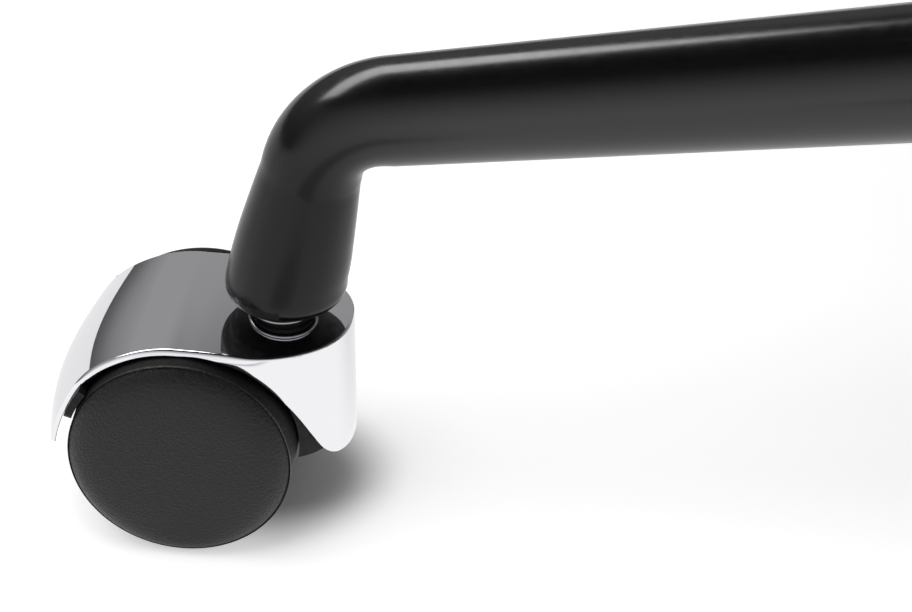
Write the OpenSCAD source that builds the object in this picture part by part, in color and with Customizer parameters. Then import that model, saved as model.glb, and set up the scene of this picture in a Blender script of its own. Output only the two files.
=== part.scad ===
// Office task chair on a five-leg tubular base with hooded twin-wheel casters.
// Millimetres, +Z up. The origin is on the floor under the gas column, and the seat's front faces -Y.
// A caster is drawn with +X along its trail, +Y across the wheels and its stem axis at the origin.
// A leg is drawn in its own XZ plane, with the caster stem's axis at the origin and the hub toward +X.

/* [Base] */
// Radius of the circle of caster stems
stem_circle_r = 300; // [280:5:330]
// Outside radius of the hub
hub_r = 31; // [30:0.5:34]
// Height of the hub's lower face
hub_z = 98; // [92:1:102]
// Length of the hub
hub_h = 50; // [46:1:60]

/* [Leg tube] */
// Height of the leg's lower end above the floor
leg_end_z = 53.2; // [53:0.1:56]
// Radius of the tube at its lower end
leg_end_r = 13.5; // [13:0.1:15]
// Rim radius of the lower end
leg_rim_r = 4.5; // [3:0.1:5]
// Lean of the neck from upright, in degrees
leg_lean = 12.5; // [8:0.5:15]
// Length of the neck up to the bend
leg_neck_l = 28.4; // [24:0.2:34]
// Radius of the tube where the neck meets the bend
leg_neck_r = 10.8; // [10:0.1:12]
// Centreline radius of the bend
leg_bend_r = 19.6; // [18:0.2:26]
// Radius of the tube after the bend
leg_arm_r = 11.7; // [11:0.1:13]
// Full radius of the arm tube
leg_tube_r = 16; // [14:0.2:16.4]
// Length of the arm's taper
leg_taper_l = 152; // [120:2:180]
// Rise of the arm toward the hub, in degrees
leg_rise = 4.9; // [2:0.1:6]
// Wall of the arm tube
leg_wall = 2; // [1.5:0.1:3]

/* [Caster] */
// Trail from the stem axis to the wheel axle
trail = 20.6; // [19:0.2:23]
// Angle of the casters from their leg's direction, in degrees
caster_turn = -6.2; // [-20:0.2:20]
// Wheel diameter
wheel_d = 50; // [48:0.5:50.4]
// Half of the gap between the two wheels
wheel_gap = 8.8; // [8.6:0.1:11]
// Distance from the middle to a wheel's shoulder
shoulder_w = 24; // [22.5:0.1:26]
// Height of the dome of a wheel's face
dome_h = 2.2; // [0.5:0.1:3]
// Round of a wheel's shoulder
shoulder_r = 1.8; // [1:0.1:3]
// Thickness of a wheel's face
face_t = 2.4; // [1.5:0.1:3.5]
// Thickness of a wheel's rim
rim_t = 3.2; // [2:0.1:4]
// Axle diameter
axle_d = 6; // [5:0.1:7]
// Stem diameter in the leg
stem_d = 11; // [10:0.1:11.4]
// Depth of the stem in the leg
stem_l = 20; // [15:0.5:21]
// Diameter of the stem's collar
collar_d = 14.2; // [13:0.1:16]
// Thickness of the stem's collar
collar_t = 1.8; // [1:0.1:1.9]
// Diameter of the stem's lower pin
pin_d = 8; // [7:0.1:9]

/* [Hood] */
// Half width of the hood
hood_w = 20; // [19:0.1:21]
// Height of the hood's top at the stem
hood_stem_z = 49.8; // [49.6:0.1:50]
// Gap between the hood and the wheel's tread at the crest
hood_gap = 0.4; // [0.35:0.05:0.8]
// Thickness of the hood's sheet
hood_t = 1.1; // [0.8:0.1:1.2]
// How far the visor flares out at the rear
hood_flare = 2.2; // [1:0.1:4]
// Distance from the stem axis to the hood's front
hood_front = 15.5; // [14.5:0.1:17]
// Height of the front skirt's lower edge
skirt_z = 19.5; // [18:0.5:24]

/* [Gas column] */
// Radius of the standpipe
pipe_r = 25; // [24:0.5:26]
// Wall of the standpipe
pipe_wall = 1.6; // [1.2:0.1:2.5]
// Height of the standpipe's lower end
pipe_z = 84; // [82:1:88]
// Length of the standpipe
pipe_l = 206; // [200:1:214]
// Height stroke of the gas column
stroke = 100; // [60:1:100]
// Radius of the gas cylinder
cyl_r = 14; // [13:0.1:14.5]
// Room between the rod's collar and the gas cylinder with the seat down
cyl_rest = 14.3; // [13:0.1:16]
// Length of the gas cylinder
cyl_l = 256; // [250:1:260]
// Radius of the piston rod
rod_r = 5; // [4:0.1:6]

/* [Mechanism] */
// Depth of the gas cylinder's top above the mechanism's floor
mech_drop = 18; // [17:0.5:19]
// Half width of the mechanism's housing
mech_w = 45; // [42:0.5:50]
// Length of the housing in front of the column
mech_front = 85; // [82:1:90]
// Length of the housing behind the column
mech_rear = 75; // [70:1:80]
// Sheet thickness of the housing
mech_t = 2.5; // [2:0.1:3]
// Distance of the tilt pin in front of the column
tilt_y = 48; // [46:0.5:52]
// Height of the tilt pin above the mechanism's floor
tilt_rise = 30; // [29:0.5:31]
// Radius of the tilt pin
tilt_pin_r = 6; // [5:0.1:7]
// Greatest recline, in degrees
tilt_max = 14; // [8:1:14]
// Thickness of the seat plate
plate_t = 3; // [2.5:0.1:4]
// Width of the seat plate
plate_w = 190; // [180:2:200]
// Length of the seat plate
plate_l = 225; // [220:2:232]
// Diameter of the tension knob
knob_d = 52; // [44:1:54]
// Height of the tension knob
knob_h = 24; // [18:1:26]

/* [Lever] */
// Reach of the height lever from the column
lever_reach = 262; // [245:1:280]
// Radius of the lever's rod
lever_r = 4; // [3.5:0.1:4.5]
// Travel of the lever, in degrees
lever_max = 7; // [4:1:7]

/* [Seat] */
// Height of the seat board's lower face above the mechanism's floor
board_rise = 49; // [49:0.5:50]
// Width of the seat board
board_w = 430; // [410:5:450]
// Depth of the seat board
board_l = 420; // [410:5:430]
// Thickness of the seat board
board_t = 12; // [10:0.5:15]
// How far the cushion stands past the board
cushion_lip = 18; // [12:1:22]
// Height of the seat cushion's edge
cushion_h = 38; // [30:1:50]
// Crown of the seat cushion
cushion_crown = 16; // [8:1:24]
// Drop of the cushion's front edge
waterfall = 12; // [0:1:18]
// Distance between an armrest's two holes
arm_pitch = 60; // [50:1:80]
// Distance of the armrest holes from the middle
arm_x = 175; // [165:1:185]

/* [Back] */
// Width of the back
back_w = 420; // [380:5:450]
// Height of the back
back_h = 440; // [400:5:480]
// Height of the back's middle above the seat board's lower face
back_up = 336; // [321:5:361]
// Lean of the back, in degrees
back_lean = 8; // [4:1:12]
// Radius of the back's curve in plan
back_curve_r = 620; // [560:10:900]
// Thickness of the back shell
shell_t = 5; // [4:0.5:7]
// Thickness of the back cushion at its edge
back_pad_t = 24; // [18:1:34]
// Crown of the back cushion
back_crown = 18; // [8:1:24]
// Width of the back bar
bar_w = 56; // [45:1:65]
// Thickness of the back bar
bar_t = 8; // [6:0.5:10]
// Distance of the bar's upright from the column
bar_y = 275; // [272:1:285]

/* [Hidden] */
// Number of legs, each with its caster
leg_count = 5;
// Radial clearance of a running fit
run = 0.05;
// Gap between faces that slide or turn past each other
gap = 0.3;
// Overrun of a cut past a face
over = 1;
$fn = 48;

// Direction of a leg: the first points straight back and the photographed one is the second
function leg_angle(k) = 90 + 360 / leg_count * (k - 1);

// Places a child drawn in a leg's own frame
module on_leg(k) {
    rotate([0, 0, leg_angle(k)]) translate([stem_circle_r, 0, 0]) rotate([0, 0, 180]) children();
}

// Places a child drawn in a caster's own frame
module on_caster(k) {
    rotate([0, 0, leg_angle(k)]) translate([stem_circle_r, 0, 0]) rotate([0, 0, caster_turn]) children();
}

// Outline of a superellipse with half sizes a and b
function super_outline(a, b, power, steps) = [for (i = [0 : steps - 1])
    let (t = 360 * i / steps, c = cos(t), s = sin(t))
    [a * sign(c) * pow(abs(c), 2 / power), b * sign(s) * pow(abs(s), 2 / power)]];

// Closed polyhedron through rings of equal point counts, with a fan of triangles at each end
module loft(rings) {
    n = len(rings[0]);
    m = len(rings);
    ends = [ring_middle(rings[0]), ring_middle(rings[m - 1])];
    points = concat([for (ring = rings) for (p = ring) p], ends);
    sides = [for (j = [0 : m - 2]) for (i = [0 : n - 1]) let (i2 = (i + 1) % n)
        each [[j * n + i, (j + 1) * n + i, (j + 1) * n + i2], [j * n + i, (j + 1) * n + i2, j * n + i2]]];
    fans = [for (i = [0 : n - 1]) let (i2 = (i + 1) % n)
        each [[m * n, i, i2], [m * n + 1, (m - 1) * n + i2, (m - 1) * n + i]]];
    polyhedron(points, concat(sides, fans));
}
function ring_middle(ring, i = 0) = i == len(ring) ? [0, 0, 0]
    : ring[i] / len(ring) + ring_middle(ring, i + 1);

// Hub

module hub() {
    color("#1c1c1e") translate([0, 0, hub_z]) difference() {
        cylinder(r = hub_r, h = hub_h);
        translate([0, 0, pipe_z - hub_z]) pipe_seat(run);
    }
}

// Taper where the standpipe sits in the hub
pipe_taper = 1;
module pipe_seat(ease) {
    seat_l = hub_z + hub_h - pipe_z;
    cylinder(r1 = pipe_r - pipe_taper + ease, r2 = pipe_r + ease, h = seat_l);
    translate([0, 0, seat_l - ease]) cylinder(r = pipe_r + ease, h = over);
}

// Legs

leg_sides = 20;
// Place of the neck's first ring, ahead of the stem and above the rim
neck_x = 0.4;
neck_lead = 0.9;
neck_z = leg_end_z + leg_rim_r + neck_lead;
rim_steps = 3;
neck_shares = [0, 0.1, 0.2, 0.3, 0.42, 0.7, 1];
bend_steps = 8;
arm_shares = [0.16, 0.45, 0.75, 1];
// Middle of the bend
bend_start = [neck_x + leg_neck_l * sin(leg_lean), neck_z + leg_neck_l * cos(leg_lean)];
bend_mid = bend_start + leg_bend_r * [cos(leg_lean), -sin(leg_lean)];
bend_turn = 90 - leg_rise - leg_lean;
bend_end = bend_mid + leg_bend_r * [-sin(leg_rise), cos(leg_rise)];
// Length of the straight arm from the bend to past the hub's wall
arm_l = (stem_circle_r - hub_r / 2 - bend_end[0]) / cos(leg_rise);

function mix(a, b, k) = a + (b - a) * k;

// Ring of a tube about a point of the leg's plane, tilted from level
function leg_ring(centre, tilt, r) = [for (i = [0 : leg_sides - 1]) let (t = 360 * i / leg_sides)
    [centre[0] + r * cos(t) * cos(tilt), r * sin(t), centre[1] - r * cos(t) * sin(tilt)]];

leg_rings = concat(
    [for (i = [0 : rim_steps]) let (t = 90 * i / rim_steps)
        leg_ring([0, leg_end_z + leg_rim_r * (1 - cos(t))], 0, leg_end_r - leg_rim_r * (1 - sin(t)))],
    [for (k = neck_shares) leg_ring(
        [neck_x + leg_neck_l * k * sin(leg_lean), neck_z + leg_neck_l * k * cos(leg_lean)],
        leg_lean * min(1, k / neck_shares[4]), mix(leg_end_r, leg_neck_r, k))],
    [for (i = [1 : bend_steps]) let (t = leg_lean + bend_turn * i / bend_steps) leg_ring(
        bend_mid + leg_bend_r * [-cos(t), sin(t)], t, mix(leg_neck_r, leg_arm_r, i / bend_steps))],
    [for (k = arm_shares) leg_ring(
        bend_end + leg_taper_l * k * [cos(leg_rise), sin(leg_rise)], 90 - leg_rise,
        mix(leg_arm_r, leg_tube_r, k))],
    [leg_ring(bend_end + arm_l * [cos(leg_rise), sin(leg_rise)], 90 - leg_rise, leg_tube_r)]);

module leg() {
    hollow_start = leg_taper_l * arm_shares[0];
    start_r = mix(leg_arm_r, leg_tube_r, arm_shares[0]) - leg_wall;
    color("#1c1c1e") difference() {
        loft(leg_rings);
        // socket for the caster's stem
        translate([0, 0, leg_end_z - over]) cylinder(d = stem_d + 2 * run, h = stem_l + over + gap);
        // open inside of the tube, up to the hub
        translate([bend_end[0], 0, bend_end[1]]) rotate([0, 90 - leg_rise, 0]) {
            translate([0, 0, hollow_start])
                cylinder(r1 = start_r, r2 = leg_tube_r - leg_wall, h = leg_taper_l - hollow_start);
            translate([0, 0, leg_taper_l]) cylinder(r = leg_tube_r - leg_wall, h = arm_l);
        }
        // cope around the hub
        translate([stem_circle_r, 0, 0]) cylinder(r = hub_r, h = hub_z + 2 * hub_h);
    }
}

// Caster stems

stem_top_z = leg_end_z + stem_l;
collar_z = leg_end_z - collar_t;
pin_end_z = 31;
ring_groove = 0.8;
ring_w = 2.4;
// Distance of the grip ring below the stem's top
ring_drop = 4;

module caster_stems() {
    color("#2a2a2c") for (k = [1 : leg_count]) on_leg(k) difference() {
        union() {
            translate([0, 0, pin_end_z]) cylinder(d = pin_d, h = collar_z - pin_end_z);
            translate([0, 0, collar_z]) cylinder(d = collar_d, h = collar_t);
            translate([0, 0, leg_end_z]) cylinder(d = stem_d, h = stem_l - ring_groove);
            translate([0, 0, stem_top_z - ring_groove])
                cylinder(d1 = stem_d, d2 = stem_d - 2 * ring_groove, h = ring_groove);
        }
        translate([0, 0, stem_top_z - ring_drop - ring_w]) difference() {
            cylinder(d = stem_d + over, h = ring_w);
            cylinder(d = stem_d - 2 * ring_groove, h = ring_w);
        }
    }
}

// Split spring rings that grip the sockets
module stem_grip_rings() {
    ease = run / 2;
    split = 25;
    color("#8a8a8c") for (k = [1 : leg_count]) on_leg(k)
        translate([0, 0, stem_top_z - ring_drop - ring_w + ease]) rotate([0, 0, split])
        rotate_extrude(angle = 360 - 2 * split)
        translate([stem_d / 2 - ring_groove + ease, 0]) square([ring_groove, ring_w - 2 * ease]);
}

// Hood

wheel_r = wheel_d / 2;
hood_r = wheel_r + hood_gap + hood_t;
plan_power = 2.34;
plan_steps = 14;
// Where the hood's plan stops narrowing toward the front
plan_x = 15.8;
visor_steps = 9;
// Lower edge of the visor at the rear, as an angle about the axle
visor_end = 0;
// Share of the trail over which the hood's top stays level
hood_flat_share = 0.3;

// Plan of the hood, round at the front and square at the rear, drawn in by a distance
function hood_plan(inset) = let (a = plan_x + hood_front - inset, b = hood_w - inset)
    concat([for (i = [-plan_steps : plan_steps]) let (t = 90 * i / plan_steps)
        [plan_x - a * pow(abs(cos(t)), 2 / plan_power), b * sign(t) * pow(abs(sin(t)), 2 / plan_power)]],
        [[trail + hood_r + 2 * hood_flare, b], [trail + hood_r + 2 * hood_flare, -b]]);

// Side view of the hood's roof: level at the stem, then over the wheels and down the visor
function hood_roof(inset) = let (r0 = hood_r - inset, top = hood_stem_z - inset)
    concat([[-hood_front - over, top], [trail * hood_flat_share, top]],
        [for (i = [0 : visor_steps]) let (t = 90 - (90 - visor_end) * i / visor_steps,
            r = r0 + hood_flare * cos(t)) [trail + r * cos(t), wheel_r + r * sin(t)]]);

module hood_solid(inset, low) {
    roof = hood_roof(inset);
    intersection() {
        translate([0, 0, low]) linear_extrude(hood_stem_z + over + hood_t) polygon(hood_plan(inset));
        rotate([90, 0, 0]) linear_extrude(2 * hood_w + 2 * over, center = true)
            polygon(concat(roof, [[roof[len(roof) - 1][0], low], [-hood_front - over, low]]));
    }
}

// Arch over a wheel: round about the axle, then a straight edge down to the skirt's tongue
arch_r = wheel_r + hood_gap;
arch_toe_share = 0.72;
arch_toe = [-hood_front * arch_toe_share, skirt_z];
arch_leave = 158;
module arch(clear) {
    rotate([90, 0, 0]) linear_extrude(2 * hood_w + 2 * over, center = true) {
        translate([trail, wheel_r]) circle(r = arch_r + clear, $fn = 96);
        polygon([[trail, wheel_r], [trail + (arch_r + clear) * cos(arch_leave),
            wheel_r + (arch_r + clear) * sin(arch_leave)], arch_toe - [clear, over],
            [trail, -over]]);
    }
}

// Plated sheet over the wheels, open below, with a hole for the housing's boss
module caster_hood() {
    boss_hole_r = boss_top_r + gap;
    color("#d8d8dc") difference() {
        hood_solid(0, skirt_z);
        hood_solid(hood_t, skirt_z - over);
        translate([trail + wheel_r / 2, -hood_w - over, skirt_z - over])
            cube([2 * wheel_r, 2 * (hood_w + over), wheel_r - skirt_z + over]);
        arch(0);
        translate([0, 0, hood_stem_z - 2 * hood_t]) cylinder(r = boss_hole_r, h = 2 * hood_t + over);
    }
}

// Caster housing

web_w = 3.3;
boss_r = 8.2;
boss_top_r = 6.6;
boss_floor_t = 4;
boss_z = pin_end_z - boss_floor_t;
axle_boss_r = 6.5;
// Room between a fender and the wheel's tread
wheel_room = 0.5;
// Height of the rear lugs above the axle, as a share of the wheel's radius
lug_share = 0.34;
// Height of the housing's front edge above the lower edge of the hood's skirt
housing_lift = 1.6;
housing_low = skirt_z + housing_lift;

// Moulded body: a web between the wheels, fenders over them and bosses for the stem and the axle
module caster_housing() {
    inset = hood_t + gap;
    color("#141416") difference() {
        union() {
            difference() {
                intersection() {
                    hood_solid(inset, housing_low);
                    fender_side();
                }
                for (side = [-1, 1]) translate([trail, side * web_w, wheel_r]) rotate([-90 * side, 0, 0])
                    cylinder(r = wheel_r + wheel_room, h = hood_w + over);
            }
            translate([0, 0, boss_z]) cylinder(r = boss_r, h = hood_stem_z - inset - boss_z);
            translate([0, 0, hood_stem_z - inset - over])
                cylinder(r = boss_top_r, h = collar_z - gap - hood_stem_z + inset + over);
            translate([trail, web_w, wheel_r]) rotate([90, 0, 0]) cylinder(r = axle_boss_r, h = 2 * web_w);
        }
        translate([0, 0, pin_end_z - gap]) cylinder(d = pin_d + 2 * run, h = collar_z);
        translate([trail, hood_w, wheel_r]) rotate([90, 0, 0]) cylinder(d = axle_d, h = 2 * hood_w);
    }
}

// Side view that trims the housing below the fenders, around the axle and at the rear lugs
module fender_side() {
    rear = trail + hood_r + hood_flare;
    lug_z = wheel_r * (1 + lug_share);
    rotate([90, 0, 0]) linear_extrude(2 * hood_w, center = true)
        polygon([[-hood_front, wheel_d + 2 * hood_t], [-hood_front, housing_low + hood_t],
            [-hood_front / 2, housing_low], [0, housing_low], [trail - axle_boss_r, wheel_r - axle_boss_r],
            [trail + axle_boss_r, wheel_r - axle_boss_r], [rear - 2 * hood_flare, lug_z - hood_t],
            [rear, lug_z], [rear, wheel_d + 2 * hood_t]]);
}

// Wheels and axle

bore_r = axle_d / 2 + run;
wheel_hub_r = 5.5;
// Distance of the axle's end from the inside of the wheel's face
axle_cap = 2;
axle_end_w = shoulder_w - face_t - axle_cap;
dome_steps = 5;
shoulder_steps = 4;

// One wheel: a domed disc with a rim and a hub, turned about the axle
module wheel(side) {
    face_r = wheel_r - shoulder_r;
    inner_w = shoulder_w - face_t;
    profile = concat(
        [[0, axle_end_w + gap], [bore_r, axle_end_w + gap], [bore_r, web_w + gap],
            [wheel_hub_r, web_w + gap], [wheel_hub_r, inner_w], [wheel_r - rim_t, inner_w],
            [wheel_r - rim_t, wheel_gap], [wheel_r - shoulder_r / 2, wheel_gap],
            [wheel_r, wheel_gap + shoulder_r / 2]],
        [for (i = [0 : shoulder_steps]) let (t = 90 * i / shoulder_steps)
            [face_r + shoulder_r * cos(t), shoulder_w - shoulder_r + shoulder_r * sin(t)]],
        [for (i = [1 : dome_steps]) let (k = 1 - i / dome_steps)
            [face_r * k, shoulder_w + dome_h * (1 - k * k)]]);
    color("#333335") translate([trail, 0, wheel_r]) rotate([-90 * side, 0, 0]) rotate_extrude($fn = 96)
        polygon(profile);
}

module caster_axle() {
    color("#9a9a9c") translate([trail, axle_end_w, wheel_r]) rotate([90, 0, 0])
        cylinder(d = axle_d, h = 2 * axle_end_w);
}

// Gas column

pipe_floor_t = 4;
bearing_r = 13;
bearing_ease = 1;
bearing_in_r = rod_r + bearing_ease;
race_t = 1.5;
ball_r = 1.2;
ball_count = 10;
rod_collar_r = 12;
rod_collar_t = 4;
bearing_z = pipe_z + pipe_floor_t;
rod_collar_z = bearing_z + 2 * race_t + 2 * ball_r + gap;
// Heights with the seat down, each from what carries it
cyl_z = rod_collar_z + rod_collar_t + cyl_rest;
cyl_top_z = cyl_z + cyl_l;
mech_z = cyl_top_z - mech_drop;
tilt_z = mech_z + tilt_rise;
board_z = mech_z + board_rise;
back_z = board_z + back_up;
gland_t = 13;
cyl_wall = 2.5;
cyl_bore_r = cyl_r - cyl_wall;
cyl_head_t = 18;
piston_t = 12;
// The piston sits just above the gland when the seat is at its highest
piston_z = cyl_z + gland_t + stroke + over;
clip_t = 2;
clip_r = 9;
rod_end = 3;
pipe_in_r = pipe_r - pipe_wall;
bush_l = 78;
flange_t = 3;
pipe_top_z = pipe_z + pipe_l;

module standpipe() {
    seat_l = hub_z + hub_h - pipe_z;
    bore_r1 = pipe_in_r - pipe_taper;
    color("#1c1c1e") translate([0, 0, pipe_z]) difference() {
        union() {
            cylinder(r1 = pipe_r - pipe_taper, r2 = pipe_r, h = seat_l);
            translate([0, 0, seat_l]) cylinder(r = pipe_r, h = pipe_l - seat_l);
        }
        translate([0, 0, pipe_floor_t]) cylinder(r = bore_r1, h = seat_l);
        translate([0, 0, seat_l]) cylinder(r = pipe_in_r, h = pipe_l);
        translate([0, 0, -over]) cylinder(r = rod_r + gap, h = pipe_floor_t + 2 * over);
    }
}

module guide_bush() {
    color("#26262a") translate([0, 0, pipe_top_z - bush_l]) difference() {
        union() {
            cylinder(r = pipe_in_r - run, h = bush_l);
            translate([0, 0, bush_l]) cylinder(r = pipe_r, h = flange_t);
        }
        translate([0, 0, -over]) cylinder(r = cyl_r + run, h = bush_l + flange_t + 2 * over);
    }
}

// Two races with a ring of balls between them
module thrust_bearing() {
    ball_circle = (bearing_r + bearing_in_r) / 2;
    color("#9a9a9c") translate([0, 0, bearing_z + run]) {
        for (z = [0, race_t + 2 * ball_r]) translate([0, 0, z]) difference() {
            cylinder(r = bearing_r, h = race_t - run);
            translate([0, 0, -over]) cylinder(r = bearing_in_r, h = race_t + 2 * over);
        }
        for (i = [1 : ball_count]) rotate([0, 0, 360 * i / ball_count])
            translate([ball_circle, 0, race_t + ball_r - run / 2]) sphere(r = ball_r - run);
    }
}

module piston_rod() {
    rod_z = pipe_z - gap - clip_t - rod_end;
    color("#c8c8cc") {
        translate([0, 0, rod_z]) cylinder(r = rod_r, h = piston_z + piston_t - rod_z);
        translate([0, 0, rod_collar_z]) cylinder(r = rod_collar_r, h = rod_collar_t);
        translate([0, 0, piston_z]) cylinder(r = cyl_bore_r - run, h = piston_t);
    }
}

module rod_clip() {
    color("#8a8a8c") translate([0, 0, pipe_z - gap - clip_t]) difference() {
        cylinder(r = clip_r, h = clip_t);
        translate([0, 0, -over]) cylinder(r = rod_r + run, h = clip_t + 2 * over);
        translate([0, -rod_r / 2, -over]) cube([clip_r + over, rod_r, clip_t + 2 * over]);
    }
}

valve_r = 4;
valve_proud = 5.5;
module gas_cylinder() {
    color("#202022") translate([0, 0, cyl_z]) difference() {
        cylinder(r = cyl_r, h = cyl_l);
        translate([0, 0, -over]) cylinder(r = rod_r + run, h = gland_t + 2 * over);
        translate([0, 0, gland_t]) cylinder(r = cyl_bore_r, h = cyl_l - gland_t - cyl_head_t);
        translate([0, 0, cyl_l - cyl_head_t - over]) cylinder(r = valve_r + run, h = cyl_head_t + 2 * over);
    }
}

module valve_pin() {
    color("#c8c8cc") translate([0, 0, cyl_top_z - cyl_head_t + over])
        cylinder(r = valve_r, h = cyl_head_t - over + valve_proud);
}

// Mechanism

seat_plate_z = board_z - plate_t;
socket_wall = 6;
socket_r = cyl_r + socket_wall;
socket_drop = 4;
lever_pin_r = 2.5;
arm_t = 4;
arm_half_y = 5;
tab_w = 8;
tab_t = 3;
tab_gap = arm_half_y + gap;
lever_pivot_x = socket_r + tab_w / 2;
lever_pivot_z = cyl_top_z + valve_proud + gap + arm_t / 2;
screw_edge = 15;
screw_y = mech_front - screw_edge;
screw_r = 5;
// Room kept below the seat plate, at rest and at full recline
wall_room = 5;
rear_room = 3.6;
wall_top_z = seat_plate_z - wall_room;
wall_rear_z = tilt_z - rear_room
    + (seat_plate_z - tilt_z) * cos(tilt_max) - (mech_rear + tilt_y) * sin(tilt_max);
// Corner and end of the lever's rod, out from the column and below the pivot
rod_bend_x = 70;
rod_bend_drop = 23.8;
rod_end_drop = 29.8;
rod_bend_r = 24;
// Room around the rod in its slot, over its whole travel
slot_room = 3;
rod_wall_z = lever_pivot_z - rod_bend_drop * (mech_w - lever_pivot_x) / (rod_bend_x - lever_pivot_x);
slot_low = rod_wall_z - lever_r - slot_room;
slot_high = rod_wall_z + lever_r + slot_room + (mech_w - lever_pivot_x) * sin(lever_max);
slot_half_y = lever_r + slot_room;

module mech_wall_side() {
    polygon([[-mech_front, mech_z], [mech_rear, mech_z], [mech_rear, wall_rear_z],
        [-tilt_y + tab_w, wall_top_z], [-mech_front, wall_top_z]]);
}

module mechanism_housing() {
    color("#1c1c1e") difference() {
        union() {
            translate([-mech_w, -mech_front, mech_z]) cube([2 * mech_w, mech_front + mech_rear, mech_t]);
            for (x = [-mech_w, mech_w - mech_t]) translate([x, 0, 0]) rotate([90, 0, 90])
                linear_extrude(mech_t) mech_wall_side();
            translate([-mech_w, -mech_front, mech_z])
                cube([2 * mech_w, mech_t, wall_top_z - 2 * mech_t - mech_z]);
            translate([0, 0, mech_z - socket_drop])
                cylinder(r = socket_r, h = cyl_top_z - mech_z + socket_drop);
            for (y = [-tab_gap - tab_t, tab_gap]) translate([-lever_pivot_x - tab_w / 2, y, mech_z])
                cube([tab_w, tab_t, lever_pivot_z + tab_w / 2 - mech_z]);
        }
        translate([0, 0, mech_z - socket_drop - over]) cylinder(r = cyl_r + run, h = cyl_top_z);
        translate([-mech_w - over, -tilt_y, tilt_z]) rotate([0, 90, 0])
            cylinder(r = tilt_pin_r + run, h = 2 * (mech_w + over));
        translate([-lever_pivot_x, -tab_gap - tab_t - over, lever_pivot_z]) rotate([-90, 0, 0])
            cylinder(r = lever_pin_r + run, h = 2 * (tab_gap + tab_t + over));
        translate([0, -screw_y, mech_z - over]) cylinder(r = screw_r + run, h = mech_t + 2 * over);
        // slot for the height lever
        translate([-mech_w - over, -slot_half_y, slot_low])
            cube([mech_t + 2 * over, 2 * slot_half_y, slot_high - slot_low]);
    }
}

module tilt_pin() {
    proud = 4;
    color("#8a8a8c") translate([-mech_w - proud, -tilt_y, tilt_z]) rotate([0, 90, 0])
        cylinder(r = tilt_pin_r, h = 2 * (mech_w + proud));
}

// Torsion springs on the tilt pin, each a row of closed turns
spring_wire = 4;
spring_turns = 7;
module tilt_springs() {
    spring_l = spring_turns * spring_wire;
    middle_r = tilt_pin_r + gap + spring_wire / 2;
    color("#3a3a3e") for (side = [-1, 1]) translate([side * (spring_wire + spring_l / 2), -tilt_y, tilt_z])
        rotate([0, 90, 0]) translate([0, 0, -spring_l / 2]) rotate_extrude() difference() {
            translate([middle_r - spring_wire / 2, 0]) square([spring_wire, spring_l]);
            for (i = [0 : spring_turns]) translate([middle_r + spring_wire / 2, i * spring_wire])
                rotate([0, 0, 45]) square(spring_wire / 4, center = true);
        }
}

// Rubber stops between the housing's front and the seat plate
module tilt_bumpers() {
    bumper_r = 6;
    bumper_taper = 1.6;
    inset = mech_t + gap + bumper_r;
    color("#101012") for (side = [-1, 1])
        translate([side * (mech_w - inset), inset - mech_front, mech_z + mech_t])
        cylinder(r1 = bumper_r, r2 = bumper_r - bumper_taper, h = seat_plate_z - gap - mech_z - mech_t);
}

// Height of the screw's tip above the housing's floor
screw_tip = 10;
// Room between the knob and the housing
knob_room = 8;
knob_floor_t = 8;
knob_z = mech_z - knob_room - knob_h;

module tension_screw() {
    color("#8a8a8c") translate([0, -screw_y, knob_z + knob_floor_t])
        cylinder(r = screw_r, h = mech_z + mech_t + screw_tip - knob_z - knob_floor_t);
}

// Knob with finger hollows round its side
knob_side_share = 0.75;
knob_top_share = 0.6;
module tension_knob() {
    hollows = 8;
    hollow_r = 5;
    hollow_depth = 2;
    side_h = knob_h * knob_side_share;
    color("#18181a") translate([0, -screw_y, knob_z]) difference() {
        union() {
            cylinder(d = knob_d, h = side_h);
            translate([0, 0, side_h])
                cylinder(d1 = knob_d, d2 = knob_d * knob_top_share, h = knob_h - side_h);
        }
        for (i = [1 : hollows]) rotate([0, 0, 360 * i / hollows])
            translate([knob_d / 2 + hollow_r - hollow_depth, 0, -over])
            cylinder(r = hollow_r, h = knob_h + 2 * over);
        translate([0, 0, knob_floor_t]) cylinder(r = screw_r + run, h = knob_h);
    }
}

// Height lever

lever_boss_t = 2.5;
grip_l = 62;
grip_half_y = 14;
grip_t = 11;
grip_power = 2.8;
// Points of the rod's centreline in the XZ plane: in the boss, at the corner and in the grip
rod_from = [-lever_pivot_x, lever_pivot_z];
rod_corner = [-rod_bend_x, lever_pivot_z - rod_bend_drop];
rod_to = [-lever_reach + grip_l / 2, lever_pivot_z - rod_end_drop];

module lever_pin() {
    color("#8a8a8c") translate([-lever_pivot_x, -tab_gap - tab_t, lever_pivot_z]) rotate([-90, 0, 0])
        cylinder(r = lever_pin_r, h = 2 * (tab_gap + tab_t));
}

// Angle of a direction below -X, in the XZ plane
function dip(d) = atan2(-d[1], -d[0]);

// Round rod through three points of the XZ plane that run toward -X, bent at the second, where the
// stretched metal swells a little
bend_swell = 0.15;
module bent_rod(from, corner, to, r, bend_r) {
    dip1 = dip(corner - from);
    dip2 = dip(to - corner);
    cut = bend_r * tan((dip1 - dip2) / 2);
    translate([from[0], 0, from[1]]) rotate([0, -90 - dip1, 0])
        cylinder(r = r, h = norm(corner - from) - cut + over);
    translate([to[0], 0, to[1]]) rotate([0, 90 - dip2, 0])
        cylinder(r = r, h = norm(to - corner) - cut + over);
    // bend about a centre above the corner
    turn_from = corner + cut * [cos(dip1), sin(dip1)];
    translate([turn_from[0], 0, turn_from[1]]) rotate([0, -dip1, 0]) translate([0, 0, bend_r])
        rotate([90, 0, 180]) rotate([0, 0, -90]) rotate_extrude(angle = dip1 - dip2)
        translate([bend_r, 0]) circle(r = r + bend_swell);
}

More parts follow.
